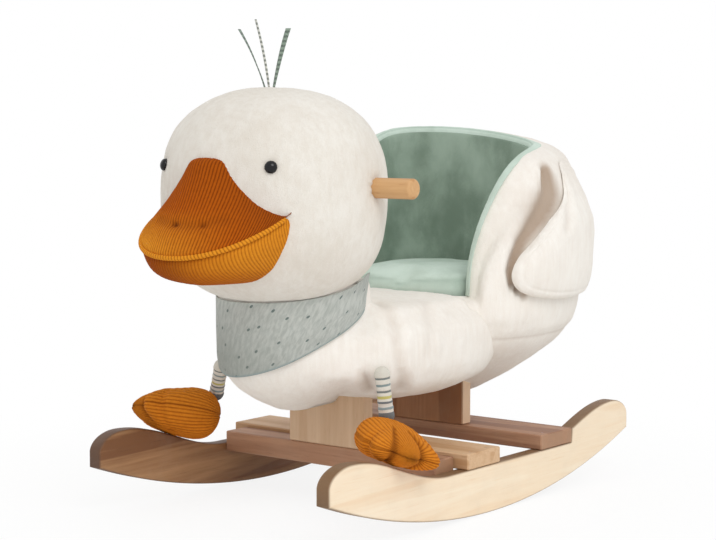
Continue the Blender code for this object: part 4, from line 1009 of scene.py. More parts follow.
def makeLining():
    # A padded panel: a flat rounded loop of points at every angle round the hollow
    end = math.radians(liningSet["end"])
    angle = np.linspace(-end, end, liningSet["columns"])
    turn = turnAngles(liningSet["around"])
    up = signedPower(np.sin(turn), liningSet["powers"][0])[None]
    out = signedPower(np.cos(turn), liningSet["powers"][1])[None]
    top = bucketSet["floor"] + (rimHeight(angle) - bucketSet["floor"]) * liningSet["share"]
    bottom = liningSet["bottom"]
    height = (top + bottom)[:, None] / 2 + (top - bottom)[:, None] / 2 * up
    inset = liningSet["inset"] + liningSet["thick"] * (0.5 + 0.5 * out)
    mesh = skinMesh("lining", hollowPoints(angle[:, None], inset, height))
    face = withPoles(np.broadcast_to(out, height.shape) > 0, False, False)
    pushOut(mesh, uneven(readPoints(mesh), liningSet["uneven"]) * face)
    finishPiece("velvet_lining", mesh, sageVelvet, "seat_lining")


bindingSet = {
    "back": [(-4.5, 0.5), (-2.5, 1.4), (-0.8, 0.2)], "arm": [(-10.5, 0.4), (-5, 1.4), (-1.2, -0.2)],
    "turn": (35, 60), "end": 131, "inset": 1.6, "below": 1.2, "out": 2.0, "in": 1.6, "columns": 420,
    "steps": 6, "stitch": {"place": 0.62, "width": 0.06, "depth": 0.7, "paintedShade": 0.5}, "lumps": (12, 51),
}


def makeBinding():
    # A padded band, wide on the arms and thin at the back, from the bucket's crest over the lining's top edge
    end = math.radians(bindingSet["end"])
    angle = np.linspace(-end, end, bindingSet["columns"])
    rim = rimHeight(angle)
    top = bucketSet["floor"] + (rim - bucketSet["floor"]) * liningSet["share"]
    start, stop = np.radians(bindingSet["turn"])
    arm = shareBetween(np.abs(angle), start, stop)
    arm = arm * arm * (3 - 2 * arm)
    keys = []
    for back, side in zip(bindingSet["back"], bindingSet["arm"]):
        inset, rise = (first + (second - first) * arm for first, second in zip(back, side))
        keys.append(hollowPoints(angle, inset, rim + rise))
    keys += [hollowPoints(angle, bindingSet["inset"], np.minimum(top, rim - 2) - bindingSet["below"])]
    band = smoothRows(keys, bindingSet["steps"])
    away = unit(np.cross(np.gradient(band, axis=0), np.gradient(band, axis=1)))
    inward = np.array((0, bucketSet["centre"], 500)) - band * (1, 1, 0)
    away *= np.sign((away * inward).sum(2))[..., None]
    share = np.linspace(0, 1, len(band))[:, None, None]
    swell = np.sqrt(np.sin(np.pi * np.clip(share, 0.02, 0.98)))
    outer = band + away * bindingSet["out"] * swell
    inner = band - away * bindingSet["in"] * swell
    mesh = skinMesh("binding", np.concatenate((outer, inner[::-1])).transpose(1, 0, 2))
    place = np.concatenate((share[:, 0, 0], share[::-1, 0, 0] + 2))
    own = bindingSet["stitch"]
    stitch = bump(withPoles(np.tile(place, len(angle)), 3, 3) - own["place"], own["width"])
    # Painted shade along the sunk stitch line
    keepValue(mesh, "paintedShade", own["paintedShade"] * stitch)
    pushOut(mesh, 0.2 * lumps(readPoints(mesh), *bindingSet["lumps"]) - own["depth"] * stitch)
    finishPiece("mint_binding", mesh, mintVelvet, "seat_piping")


cushionSet = {
    "inset": 7.2, "floor": 223, "top": 263.5, "highest": 267.5, "columns": 160,
    "levels": [(10, 0), (3, 0.08), (0.5, 0.3), (0.5, 0.6), (3.5, 0.8), (12, 0.93), (38, 1.0)],
    "voxel": 5.0, "pressure": 4.0, "cap": 6.0, "frames": 20, "tension": 30, "bending": 2, "play": 0.9,
    "seamFrom": 236, "seam": {"share": 0.965, "scale": 90, "width": 1.6, "depth": 0.8, "paintedShade": 0.5},
}


def puffUp(mesh, cap):
    # Cloth under pressure for some frames, each point then held within the cap of where it started
    start = readPoints(mesh)
    puff = linkNew("puff", mesh)
    cloth = puff.modifiers.new("cloth", "CLOTH")
    cloth.settings.use_pressure = True
    cloth.settings.uniform_pressure_force = cushionSet["pressure"]
    cloth.settings.effector_weights.gravity = 0
    cloth.settings.tension_stiffness = cushionSet["tension"]
    cloth.settings.bending_stiffness = cushionSet["bending"]
    for step in range(1, cushionSet["frames"] + 1):
        bpy.context.scene.frame_set(step)
    graph = bpy.context.evaluated_depsgraph_get()
    swollen = bpy.data.meshes.new_from_object(puff.evaluated_get(graph))
    moved = readPoints(swollen) - start
    far = np.linalg.norm(moved, axis=1)[:, None]
    bpy.data.objects.remove(puff, do_unlink=True)
    bpy.context.scene.frame_set(1)
    writePoints(mesh, start + moved * np.minimum(1, cap / np.maximum(far, 1e-9)))


def makeCushion():
    # A crowned pad of hollow-shaped rings, blown up as cloth, pressed flat below and kept inside the lining
    angle = turnAngles(cushionSet["columns"])
    thick = cushionSet["top"] - cushionSet["floor"]
    keys = []
    for inset, share in cushionSet["levels"]:
        height = np.full(len(angle), cushionSet["floor"] + thick * share)
        keys.append(hollowPoints(angle, cushionSet["inset"] + inset, height))
    mesh = skinMesh("cushion", smoothRows(keys, 4))
    writePoints(mesh, readPoints(mesh) * mm)
    holder = linkNew("holder", mesh)
    remesh = holder.modifiers.new("remesh", "REMESH")
    remesh.mode = "VOXEL"
    remesh.voxel_size = cushionSet["voxel"] * mm
    graph = bpy.context.evaluated_depsgraph_get()
    mesh = bpy.data.meshes.new_from_object(holder.evaluated_get(graph))
    bpy.data.objects.remove(holder, do_unlink=True)
    puffUp(mesh, cushionSet["cap"] * mm)
    writePoints(mesh, readPoints(mesh) / mm)
    points = readPoints(mesh)
    width, front, rear = bucketSet["hollow"]
    room = cushionSet["inset"] - cushionSet["play"]
    away = points[:, 1] - bucketSet["centre"]
    reach = np.where(away > 0, rear, front) - room
    power = bucketSet["hollowPower"]
    share = np.abs(points[:, 0] / (width - room)) ** power + np.abs(away / reach) ** power
    share = share ** (1 / power)
    scale = np.minimum(1, 1 / np.maximum(share, 1e-6))
    points[:, 0] *= scale
    points[:, 1] = bucketSet["centre"] + away * scale
    points[:, 2] = np.clip(points[:, 2], cushionSet["floor"], cushionSet["highest"])
    writePoints(mesh, points)
    share = np.minimum(share, 1)
    top = points[:, 2] > cushionSet["seamFrom"]
    own = cushionSet["seam"]
    seam = bump((share - own["share"]) * own["scale"], own["width"]) * top
    # Painted shade along the sunk seam round the top
    keepValue(mesh, "paintedShade", own["paintedShade"] * seam)
    pushOut(mesh, 0.5 * lumps(points, 45, 61) * top - own["depth"] * seam)
    piece = finishPiece("mint_cushion", mesh, mintVelvet, "seat_cushion")
    smooth = piece.modifiers.new("smooth", "SUBSURF")
    smooth.levels = smooth.render_levels = 1


makeBucket()
makeLining()
makeBinding()
makeCushion()
print("bucket, lining, binding and cushion are made")


# Chest: height, centre, neck radius, half width, reach to the front and to the rear

chestSet = {
    "rows": [
        (119, -18, 8, 14, 14, 16), (121, -20, 20, 50, 44, 60), (128, -30, 36, 84, 64, 100),
        (137, -45, 52, 106, 84, 140), (148, -70, 66, 121, 91, 190), (162, -90, 76, 129, 101, 225),
        (180, -100, 83, 132, 99, 250), (198, -100, 85.5, 132, 87, 252), (213, -100, 86.5, 129, 65, 245),
        (227, -100, 86.5, 117, 45, 235), (237, -100, 86.5, 105, 25, 215), (242, -103, 86.5, 60, 14, 110),
        (252, -110, 86, 20, 10, 20), (264, -110, 84, 20, 10, 20),
    ],
    "neckY": -149, "columns": 420, "steps": 12, "mouthY": 39.3, "floor": 221.6,
    "flank": (0.788, 0.616, 168, 10),
    "folds": [
        (
            [
                (70, -88, 243), (92, -103, 237), (116, -116, 221),
                (131, -126, 197), (130, -122, 171), (112, -98, 145),
            ],
            3.6, 7.5,
        ),
        ([(118, -160, 176), (109, -156, 165), (101, -142, 154), (88, -120, 143)], 5.0, 6.5),
        ([(96, -40, 241), (120, -52, 231), (136, -66, 208), (137, -74, 184)], 1.8, 9.0),
    ],
    "uneven": [(62, 71, 1.1), (21, 72, 0.4), (6, 73, 0.13)],
    "rearPower": 3.5, "frontPower": 2.05, "blend": 12, "beside": 0.3, "foldShade": 0.05,
    "belly": (150, 110), "bellyShade": 0.12, "seam": (1.6, 0.7), "seamBelow": 200, "ease": 6,
}


def chestRadius(rows, angle):
    # The larger of an oval body and the round neck in front, blended by their twelfth powers
    middle, neck, half, front, rear = (rows[..., [index]] for index in range(1, 6))
    sine, cosine = np.abs(np.sin(angle)), np.cos(angle)
    reach = np.where(cosine > 0, rear, front)
    power = np.where(cosine > 0, chestSet["rearPower"], chestSet["frontPower"])
    body = ((sine / half) ** power + (np.abs(cosine) / reach) ** power) ** (-1 / power)
    ahead = (middle - chestSet["neckY"]) * cosine
    inside = ahead**2 - (middle - chestSet["neckY"]) ** 2 + neck**2
    column = np.maximum(1, np.sqrt(np.maximum(inside, 0)) - ahead)
    blend = chestSet["blend"]
    return (body**blend + np.where(inside > 0, column, 1) ** blend) ** (1 / blend)


def chestPoints(rows, angle, standOff=0.0):
    # The chest's skin, moved out by the stand-off
    radius = chestRadius(rows, angle) + standOff
    return pointsAt(radius * np.sin(angle), rows[..., [1]] + radius * np.cos(angle), rows[..., [0]])


def drawIn(points):
    # Flattens the front corners: past the limit along each diagonal, the excess eases out as a tanh
    across, ahead, limit, ease = chestSet["flank"]
    way = np.sign(points * (1, 0, 0)) * (across, 0, 0) - (0, ahead, 0)
    excess = (points * way).sum(-1) - limit
    cut = np.where(excess > 0, excess - ease * np.tanh(excess / ease), 0)
    return points - way * cut[..., None]


def chestRowsAt(height):
    # The chest's row values at any heights, by straight lines between its smooth rows
    table = smoothRows(chestSet["rows"], chestSet["steps"])
    return np.stack([height] + [np.interp(height, table[:, 0], column) for column in table.T[1:]], -1)


def makeChest():
    # Folded and sewn plush, held below the bucket's floor where it reaches inside
    rows = smoothRows(chestSet["rows"], chestSet["steps"])
    mesh = skinMesh("chest", drawIn(chestPoints(rows, turnAngles(chestSet["columns"])[None])))
    points = readPoints(mesh)
    push = uneven(points, chestSet["uneven"])
    paintedShade = np.zeros(len(points))
    for path, depth, width in chestSet["folds"]:
        away = nearPath(onLeft(points), path)
        near = bump(away, width)
        push += depth * (chestSet["beside"] * bump(away - 2 * width, width) - near)
        # Painted shade in the fold
        paintedShade += chestSet["foldShade"] * depth * near
    # Painted shade towards the bottom of the chest
    belly = chestSet["bellyShade"] * shareBetween(points[:, 2], *chestSet["belly"])
    push -= bump(points[:, 0], *chestSet["seam"]) * (points[:, 2] < chestSet["seamBelow"])
    keepValue(mesh, "paintedShade", np.clip(paintedShade + belly, 0, 1))
    pushOut(mesh, push)
    points = readPoints(mesh)
    mouth = chestSet["mouthY"] - chestSet["ease"]
    above = (points[:, 2] > chestSet["floor"]) & (points[:, 1] > mouth)
    drop = shareBetween(points[:, 1], mouth, chestSet["mouthY"])
    limit = np.where(above, chestSet["floor"] + (1 - drop) * (points[:, 2] - chestSet["floor"]), points[:, 2])
    points[:, 2] = np.minimum(points[:, 2], limit)
    writePoints(mesh, points)
    finishPiece("plush_chest_cover", mesh, plushBody, "chest")


makeChest()
print("chest is made")


# Kerchief

kerchiefSet = {
    "low": (69.5, 118), "high": (94, 118), "columns": 280, "rows": 90, "highest": 274,
    "turn": 25, "radius": 85.5, "point": 157.5, "slope": 0.546, "strip": 227,
    "lift": 1.5, "wave": 1.2, "thick": 0.8, "marks": 26 * mm, "corner": (14, 9), "room": 1.6,
    "lowest": 130, "levels": 577, "headRoom": 1.012, "neckFrom": 236, "evenHigh": 6, "evenLow": 4,
    "waves": {"fine": 9, "offset": 0.6, "coarse": 3.3, "least": 0.35}, "layer": 0.9, "edge": (1.6, 26),
    "freed": (0.96, 0.84), "hem": (0.8, 1.4, 2.6), "shadeUp": (245, 185), "shadeAcross": (80, -30),
}


def makeKerchiefCloth():
    # Cotton gauze: a printed scatter of short marks, a darker hem, painted shade towards the lower far side
    # and a fine crinkled weave
    material, tree, shader, _ = startMaterial("kerchief_cotton", 0.88, 0.15, (1, 1, 1, 1), 0.2)
    flat = addNode(tree, "ShaderNodeUVMap", {"uv_map": "cloth"}).outputs[0]
    weave = useGroup(tree, weaveGroup, {"Coordinate": flat, "Threads": 5200})
    crinkle = noiseNode(tree, vectorNode(tree, "MULTIPLY", flat, (1, 0.35, 1)), 260, 4, 0.6, 0.5)
    pale = mixColour(tree, rangeNode(tree, crinkle, 0.3, 0.7), tone(184, 190, 184), tone(210, 214, 208))
    cells = addNode(tree, "ShaderNodeTexVoronoi", {"voronoi_dimensions": "2D"})
    joinSocket(tree, flat, cells.inputs["Vector"])
    cells.inputs["Scale"].default_value = 1 / kerchiefSet["marks"]
    cells.inputs["Randomness"].default_value = 0.7
    dots = rangeNode(tree, cells.outputs["Distance"], 0.055, 0.085, 0.85, 0)
    printed = mixColour(tree, dots, pale, tone(92, 112, 110))
    hem = storedValue(tree, "hem")
    shade = storedValue(tree, "shade")
    shaded = mixColour(tree, mathNode(tree, "MULTIPLY", shade, 0.55), printed, tone(130, 134, 124))
    tree.links.new(mixColour(tree, hem, shaded, tone(150, 168, 168)), shader.inputs["Base Color"])
    addBump(tree, shader, mathNode(tree, "MULTIPLY_ADD", crinkle, 2.0, weave["Height"]), 0.0003, 0.7)
    return material


def settleOn(mesh, under, room, share):
    # Points nearer to the piece below than the room move out from it, each by its own share of the way
    before = readPoints(mesh)
    writePoints(mesh, before * mm + np.array(ownShift))
    holder = linkNew("holder", mesh)
    wrap = holder.modifiers.new("wrap", "SHRINKWRAP")
    wrap.target = bpy.data.objects[under]
    wrap.wrap_method = "NEAREST_SURFACEPOINT"
    wrap.wrap_mode = "OUTSIDE"
    wrap.offset = room * mm
    bpy.context.view_layer.update()
    holder.matrix_world = wrap.target.matrix_world
    bpy.context.view_layer.update()
    shape = holder.evaluated_get(bpy.context.evaluated_depsgraph_get()).to_mesh()
    moved = np.empty(len(mesh.vertices) * 3, np.float32)
    shape.vertices.foreach_get("co", moved)
    bpy.data.objects.remove(holder)
    after = (moved.reshape(-1, 3) - np.array(ownShift)) / mm
    writePoints(mesh, before + (after - before) * share[:, None])


def evened(values, reach):
    # Each value becomes the mean of itself and of its neighbours within the reach
    count = 2 * reach + 1
    return np.convolve(np.pad(values, reach, mode="edge"), np.ones(count) / count, "valid")


def makeKerchief():
    # Each column follows the chest from the tilted lower edge up to the head's underside
    lowAngle, highAngle = (
        np.pi + np.linspace(-near, far, kerchiefSet["columns"])
        for near, far in (np.radians(kerchiefSet["low"]), np.radians(kerchiefSet["high"]))
    )
    heights = np.linspace(kerchiefSet["lowest"], kerchiefSet["highest"], kerchiefSet["levels"])
    field = chestPoints(chestRowsAt(heights), lowAngle[None], kerchiefSet["lift"])
    turn = math.radians(kerchiefSet["turn"])
    behind = field[..., 0] * math.sin(turn) + (field[..., 1] - chestSet["neckY"]) * math.cos(turn)
    plane = kerchiefSet["point"] + kerchiefSet["slope"] * (behind + kerchiefSet["radius"])
    below = (heights[:, None] < plane) & (heights[:, None] < kerchiefSet["strip"])
    low = heights[len(heights) - 1 - np.argmax(below[::-1], axis=0)]
    field = chestPoints(chestRowsAt(heights), highAngle[None], kerchiefSet["lift"])
    covered = (headRadius(field) < kerchiefSet["headRoom"]) & (heights[:, None] > kerchiefSet["neckFrom"])
    high = np.where(covered.any(0), heights[np.argmax(covered, axis=0)], kerchiefSet["highest"])
    high = evened(high, kerchiefSet["evenHigh"])
    low = evened(low, kerchiefSet["evenLow"])
    column = np.arange(kerchiefSet["columns"])
    width, rise = kerchiefSet["corner"]
    endward = np.clip(1 - np.minimum(column, column[::-1]) / width, 0, 1)
    low = low + rise * endward**2
    share = np.linspace(0, 1, kerchiefSet["rows"])[:, None]
    height = low + (high - low) * share
    angle = lowAngle + (highAngle - lowAngle) * share
    rows = chestRowsAt(height.ravel())
    waves = kerchiefSet["waves"]
    fold = np.sin(angle * waves["fine"] + waves["offset"]) * np.sin(angle * waves["coarse"])
    fold = fold * (1 - (1 - waves["least"]) * share) * kerchiefSet["wave"]
    rise, fade = kerchiefSet["edge"]
    lift = kerchiefSet["lift"] + kerchiefSet["layer"] + fold + rise * np.exp(-share * fade)
    grid = drawIn(chestPoints(rows, angle.reshape(-1, 1))[:, 0]).reshape(height.shape + (3,))
    out = unit(grid - pointsAt(0, rows[:, 1].reshape(height.shape), height))
    grid = grid + out * lift[..., None]
    mesh = sheetMesh("kerchief", grid)
    freed = np.broadcast_to(shareBetween(share, *kerchiefSet["freed"]), height.shape).ravel()
    settleOn(mesh, "plush_chest_cover", kerchiefSet["room"], freed)
    steps = [np.linalg.norm(np.diff(grid, axis=axis), axis=2) for axis in (1, 0)]
    along = np.pad(np.cumsum(steps[0], axis=1), ((0, 0), (1, 0)))
    down = np.pad(np.cumsum(steps[1], axis=0), ((1, 0), (0, 0)))
    flat = np.stack((along - along[:, [kerchiefSet["columns"] // 2]], down), -1).reshape(-1, 2) * mm
    strength, start, fade = kerchiefSet["hem"]
    keepValue(mesh, "hem", strength * np.clip(start - down / fade, 0, 1).ravel())
    # Painted shade: darker towards the lower edge and the far side
    shade = shareBetween(height, *kerchiefSet["shadeUp"])
    shade = shade * shareBetween(grid[..., 0], *kerchiefSet["shadeAcross"])
    keepValue(mesh, "shade", shade.ravel())
    corners = np.empty(len(mesh.loops), np.int32)
    mesh.loops.foreach_get("vertex_index", corners)
    layer = mesh.uv_layers.new(name="cloth")
    layer.data.foreach_set("uv", flat[corners].astype(np.float32).ravel())
    cloth = makeKerchiefCloth()
    piece = finishPiece("cotton_kerchief", mesh, cloth, "kerchief")
    wall = piece.modifiers.new("wall", "SOLIDIFY")
    wall.thickness = kerchiefSet["thick"] * mm
    wall.offset = 0
    width, length = float(along.max() * mm), float(down.max() * mm)


makeKerchief()


# Legs, feet, wings and ribbons

legSet = {
    "hips": {"left": (122, -145, 169), "right": (-112, -147, 157)},
    "ankles": {"left": (125, -141, 124), "right": (-125, -141, 124)},
    "radius": 8.5, "columns": 72, "end": 8.0, "pinch": 0.06, "ripple": 40, "uneven": 0.25, "lumps": (9, 81),
    "stripes": [
        (0.0, (232, 228, 216)), (0.08, (128, 138, 136)), (0.13, (236, 232, 222)), (0.24, (142, 164, 166)),
        (0.30, (238, 234, 224)), (0.40, (126, 134, 132)), (0.45, (236, 232, 220)), (0.53, (214, 208, 120)),
        (0.60, (236, 232, 222)), (0.66, (112, 120, 126)), (0.71, (232, 228, 220)), (0.80, (150, 168, 172)),
        (0.86, (236, 232, 222)), (0.93, (110, 116, 120)),
    ],
}
footSet = {
    "ahead": 38, "toe": 54, "heel": 45, "half": 42, "fan": 0.2, "bulge": 5, "spacing": 38,
    "line": {"turn": 0.34, "width": 0.045, "depth": 2.6, "from": (-2, 12), "paintedShade": 0.55},
    "rim": {"width": 1.3, "depth": 0.8, "paintedShade": 0.35}, "worn": 0.25,
    "left": {"thick": 42, "below": 23, "yaw": 58, "pitch": 6, "roll": 18, "seed": 91},
    "right": {"thick": 53.5, "below": 27.3, "yaw": 44, "pitch": -8, "roll": 20, "seed": 95},
    "columns": 420, "rows": 130, "power": 2.4, "pitch": cordPitch["foot"], "ribs": 47, "ribDepth": 0.6,
}


def makeJersey():
    # Knitted stripes along the leg's own measure, with rows of fine knit loops
    material, tree, shader, place = startMaterial("striped_jersey", 0.9, 0.2, (1, 1, 1, 1), 0.2)
    along = storedValue(tree, "along")
    wobble = mathNode(tree, "MULTIPLY_ADD", noiseNode(tree, place, 120, 2), 0.03, along)
    ramp = addNode(tree, "ShaderNodeValToRGB")
    ramp.color_ramp.interpolation = "CONSTANT"
    marks = ramp.color_ramp.elements
    while len(marks) < len(legSet["stripes"]):
        marks.new(1.0)
    for mark, (share, colour) in zip(marks, legSet["stripes"]):
        mark.position = share
        mark.color = tone(*colour)
    tree.links.new(wobble, ramp.inputs[0])
    knit = noiseNode(tree, vectorNode(tree, "MULTIPLY", place, (1, 1, 2.5)), 900, 2, 0.6)
    colour = mixColour(tree, mathNode(tree, "MULTIPLY", knit, 0.3), ramp.outputs[0], tone(120, 118, 110))
    tree.links.new(colour, shader.inputs["Base Color"])
    addBump(tree, shader, knit, 0.0006)
    return material


def makeLeg(side, material):
    # A tube from hip to ankle with round ends, slightly pinched where it is gathered
    hip, ankle = (np.array(legSet[key][side], float) for key in ("hips", "ankles"))
    length = np.linalg.norm(ankle - hip)
    above = -np.cos(np.linspace(0.15, 1.5, 10)) * legSet["end"] / length
    below = 1 + np.sin(np.linspace(0.07, 1.4, 10)) * legSet["end"] / length
    share = np.concatenate((above, np.linspace(0.02, 0.98, 60), below))
    held = np.clip(share, 0, 1)
    over = np.abs(share - held) * length / legSet["radius"]
    slim = 1 - legSet["pinch"] * np.sin(np.pi * held)
    radii = legSet["radius"] * np.sqrt(np.maximum(0, 1 - over**2)) * slim
    path = hip + (ankle - hip) * share[:, None]
    mesh = skinMesh("leg", tubeRings(path, radii, legSet["columns"], (0, 1, 0)))
    along = withPoles(np.repeat(held, legSet["columns"]), 0, 1)
    keepValue(mesh, "along", along)
    ripple = np.sin(along * legSet["ripple"])
    pushOut(mesh, legSet["uneven"] * (ripple + lumps(readPoints(mesh), *legSet["lumps"])))
    finishPiece("striped_leg_" + side, mesh, material, "leg_" + side, "leg_" + side)


def footRadius(turned):
    # A rounded oval with three toe swells across the front; 0 looks along the toes
    reach = np.where(np.abs(turned) < np.pi / 2, footSet["toe"], footSet["heel"])
    power = footSet["power"]
    share = (np.abs(np.sin(turned)) / footSet["half"]) ** power + (np.abs(np.cos(turned)) / reach) ** power
    window = np.clip((math.radians(1.5 * footSet["spacing"] + 6) - np.abs(turned)) / math.radians(12), 0, 1)
    wave = np.cos(2 * np.pi * turned / math.radians(footSet["spacing"]))
    return share ** (-1 / power) + footSet["bulge"] * window * (wave - 0.2)


def makeFoot(side, sign):
    # Rings of the outline drawn in towards the sole and the top, with ribs and sewn lines along the toes
    tilt = (-np.pi / 2 + np.pi * np.linspace(0, 1, footSet["rows"])[1:-1])[:, None]
    turned = turnAngles(footSet["columns"], -np.pi)[None]
    radius = footRadius(turned) * np.cos(tilt) ** 0.7
    ahead = radius * np.cos(turned)
    across = radius * np.sin(turned) * (1 + footSet["fan"] * ahead / footSet["toe"])
    own = footSet[side]
    height = own["thick"] / 2 * (1 - 0.3 * ahead / footSet["toe"]) * np.sin(tilt) - own["below"]
    mesh = skinMesh("foot", pointsAt(across, -footSet["ahead"] - ahead, height))
    points = readPoints(mesh)
    rise = (points[:, 2] + own["below"]) / own["thick"]
    forward = -points[:, 1] - footSet["ahead"]
    squashed = np.arctan2(rise * 2, points[:, 0] / footSet["half"])
    true = np.arctan2(rise * own["thick"], points[:, 0])
    rib = footSet["ribs"] * footSet["pitch"] * (squashed + true) / (4 * np.pi)
    bearing = np.arctan2(points[:, 0], forward + 30)
    toeLine = np.zeros(len(points))
    line, sewn = footSet["line"], footSet["rim"]
    for sense in (-1, 1):
        turn = sense * math.radians(footSet["spacing"] * line["turn"])
        toeLine = np.maximum(toeLine, bump(bearing - turn, line["width"]))
    toeLine *= shareBetween(forward, *line["from"])
    rim = bump(rise * own["thick"], sewn["width"])
    push = footSet["ribDepth"] * ribWave(rib, footSet["pitch"])
    push -= line["depth"] * toeLine + sewn["depth"] * rim
    push += uneven(points, [(26, own["seed"], 0.7), (5, own["seed"] + 1, 0.22)])
    keepValue(mesh, "rib", rib)
    # Painted shade in the toe lines and the sewn rim, and a painted highlight growing towards the top of the
    # foot
    keepValue(mesh, "paintedShade", np.clip(line["paintedShade"] * toeLine + sewn["paintedShade"] * rim, 0, 1))
    keepValue(mesh, "paintedHighlight", np.clip(0.5 + rise * 0.8, 0, 1) * 0.5)
    keepValue(mesh, "worn", np.full(len(points), footSet["worn"]))
    pushOut(mesh, push)
    points = readPoints(mesh)
    yaw, pitch, roll = (math.radians(own[key]) for key in ("yaw", "pitch", "roll"))
    turns = ((yaw * sign, "Z"), (pitch, "X"), (roll * sign, "Y"))
    turnZ, turnX, turnY = (np.array(Matrix.Rotation(turn, 3, axis)) for turn, axis in turns)
    writePoints(mesh, points @ (turnZ @ turnX @ turnY).T + legSet["ankles"][side])
    finishPiece("corduroy_foot_" + side, mesh, footCord, "foot_" + side, "foot_" + side)


jersey = makeJersey()
for side, sign in sides.items():
    makeLeg(side, jersey)
    makeFoot(side, sign)
print("legs and feet are made")

wingSet = {
    "outline": [
        (72, 392), (77, 377), (80, 352), (91, 324), (103, 300), (112, 282), (116, 261), (111, 243),
        (96, 233), (75, 229), (58, 237), (48, 262), (44, 300), (47, 352), (58, 386),
    ],
    "section": [
        (0.03, 0.0), (0.4, 0.0), (0.75, 0.0), (0.97, 0.12), (1, 0.3), (0.93, 0.62), (0.7, 0.88), (0.35, 1.0),
        (0.03, 1.0),
    ],
    "thick": 19, "standOff": 1.3, "fade": (322, 384), "flatter": 0.94,
    "fold": [(156, 182, 380), (162, 176, 358), (169, 164, 334), (172, 150, 314)],
    "uneven": [(44, 101, 0.8), (17, 102, 0.3)], "fine": [(6, 103, 0.1)], "outer": 0.35,
    "valley": (7, 3.0), "ridge": (13, 7, 1.2), "rim": (0.9, 60, 1.2, 0.8), "paintedShade": (6, 0.16),
}


def shellScale(angle, height):
    # Share of the bucket's outline at a height: by height below the waist and by share of the rim above it
    waist = bucketSet["waist"]
    share = (height - waist) / (rimHeight(angle) - waist)
    upper = np.interp(share, *zip(*bucketSet["side"]))
    under = bucketSet["under"] + [(waist, bucketSet["side"][0][1])]
    lower = np.interp(height, *zip(*under))
    return np.where(height < waist, lower, upper)


def sidePoints(angle, height, standOff):
    # Points that stand off the bucket's outer side, along the level direction from its middle
    skin = shellPoints(angle, shellScale(angle, height), height)
    away = unit((skin - (0, bucketSet["centre"], 0)) * (1, 1, 0))
    return skin + away * np.asarray(standOff)[..., None]


def makeWing(side, sign):
    # The outline drawn in towards its middle row by row, while the stand-off grows into a soft pillow
    loop = smoothLoop(wingSet["outline"], 22)
    middle = np.mean(wingSet["outline"], axis=0)
    section = smoothRows(wingSet["section"], 12)
    spread, thick = section[:, [0]], np.clip(section[:, [1]], 0, 1)
    degrees = middle[0] + (loop[:, 0] - middle[0]) * spread
    height = middle[1] + (loop[:, 1] - middle[1]) * spread
    low, high = wingSet["fade"]
    full = 1 - wingSet["flatter"] * shareBetween(height, low, high)
    standOff = wingSet["standOff"] + wingSet["thick"] * thick * full
    mesh = skinMesh("wing", sidePoints(np.radians(degrees), height, standOff))
    points = readPoints(mesh)
    near = nearPath(points, wingSet["fold"])
    edge = withPoles(np.broadcast_to(spread, degrees.shape), 0, 0)
    outer = withPoles(np.broadcast_to(thick, degrees.shape) > wingSet["outer"], False, True)
    aside, width, height = wingSet["ridge"]
    push = bump(near - aside, width, height) - bump(near, *wingSet["valley"])
    share, scale, width, depth = wingSet["rim"]
    push -= bump((edge - share) * scale, width, depth)
    push = (push + uneven(points, wingSet["uneven"])) * outer + uneven(points, wingSet["fine"])
    # Painted shade along the fold
    keepValue(mesh, "paintedShade", bump(near, *wingSet["paintedShade"]) * outer)
    pushOut(mesh, push)
    if sign < 0:
        writePoints(mesh, readPoints(mesh) * (-1, 1, 1))
        mesh.flip_normals()
    finishPiece("plush_wing_" + side, mesh, plushBody, "wing_" + side, "wing_" + side)


for side, sign in sides.items():
    makeWing(side, sign)
print("wings are made")

ribbonSet = {
    "left": {
        "root": (1, -183.5), "tip": (27, -188, 542), "turn": -0.9,
        "light": (126, 150, 132), "dark": (66, 92, 78),
    },
    "middle": {
        "root": (-6, -181.5), "tip": (-20, -188, 553), "turn": 0.0,
        "light": (222, 222, 212), "dark": (120, 128, 118),
    },
    "right": {
        "root": (-13, -179.5), "tip": (-44, -188, 543), "turn": 0.9,
        "light": (110, 136, 120), "dark": (60, 84, 72),
    },
    "width": 6, "thick": 0.8, "bow": 0.35, "sunk": 4,
}


def makeTape(name, light, dark):
    # Printed tape: bars across it by its own measure, with a woven rib
    material, tree, shader, place = startMaterial("tape_" + name, 0.75, 0.15, (1, 1, 1, 1), 0.3)
    along = storedValue(tree, "along")
    bars = mathNode(tree, "SINE", mathNode(tree, "MULTIPLY", along, 2 * math.pi / 5))
    weave = useGroup(tree, weaveGroup, {"Coordinate": place, "Threads": 4200})
    colour = mixColour(tree, rangeNode(tree, bars, -0.25, 0.25), tone(*dark), tone(*light))
    share = mathNode(tree, "MULTIPLY", weave["Shade"], 0.25)
    worn = mixColour(tree, share, colour, tone(240, 240, 232))
    tree.links.new(worn, shader.inputs["Base Color"])
    addBump(tree, shader, weave["Height"], 0.0003)
    return material


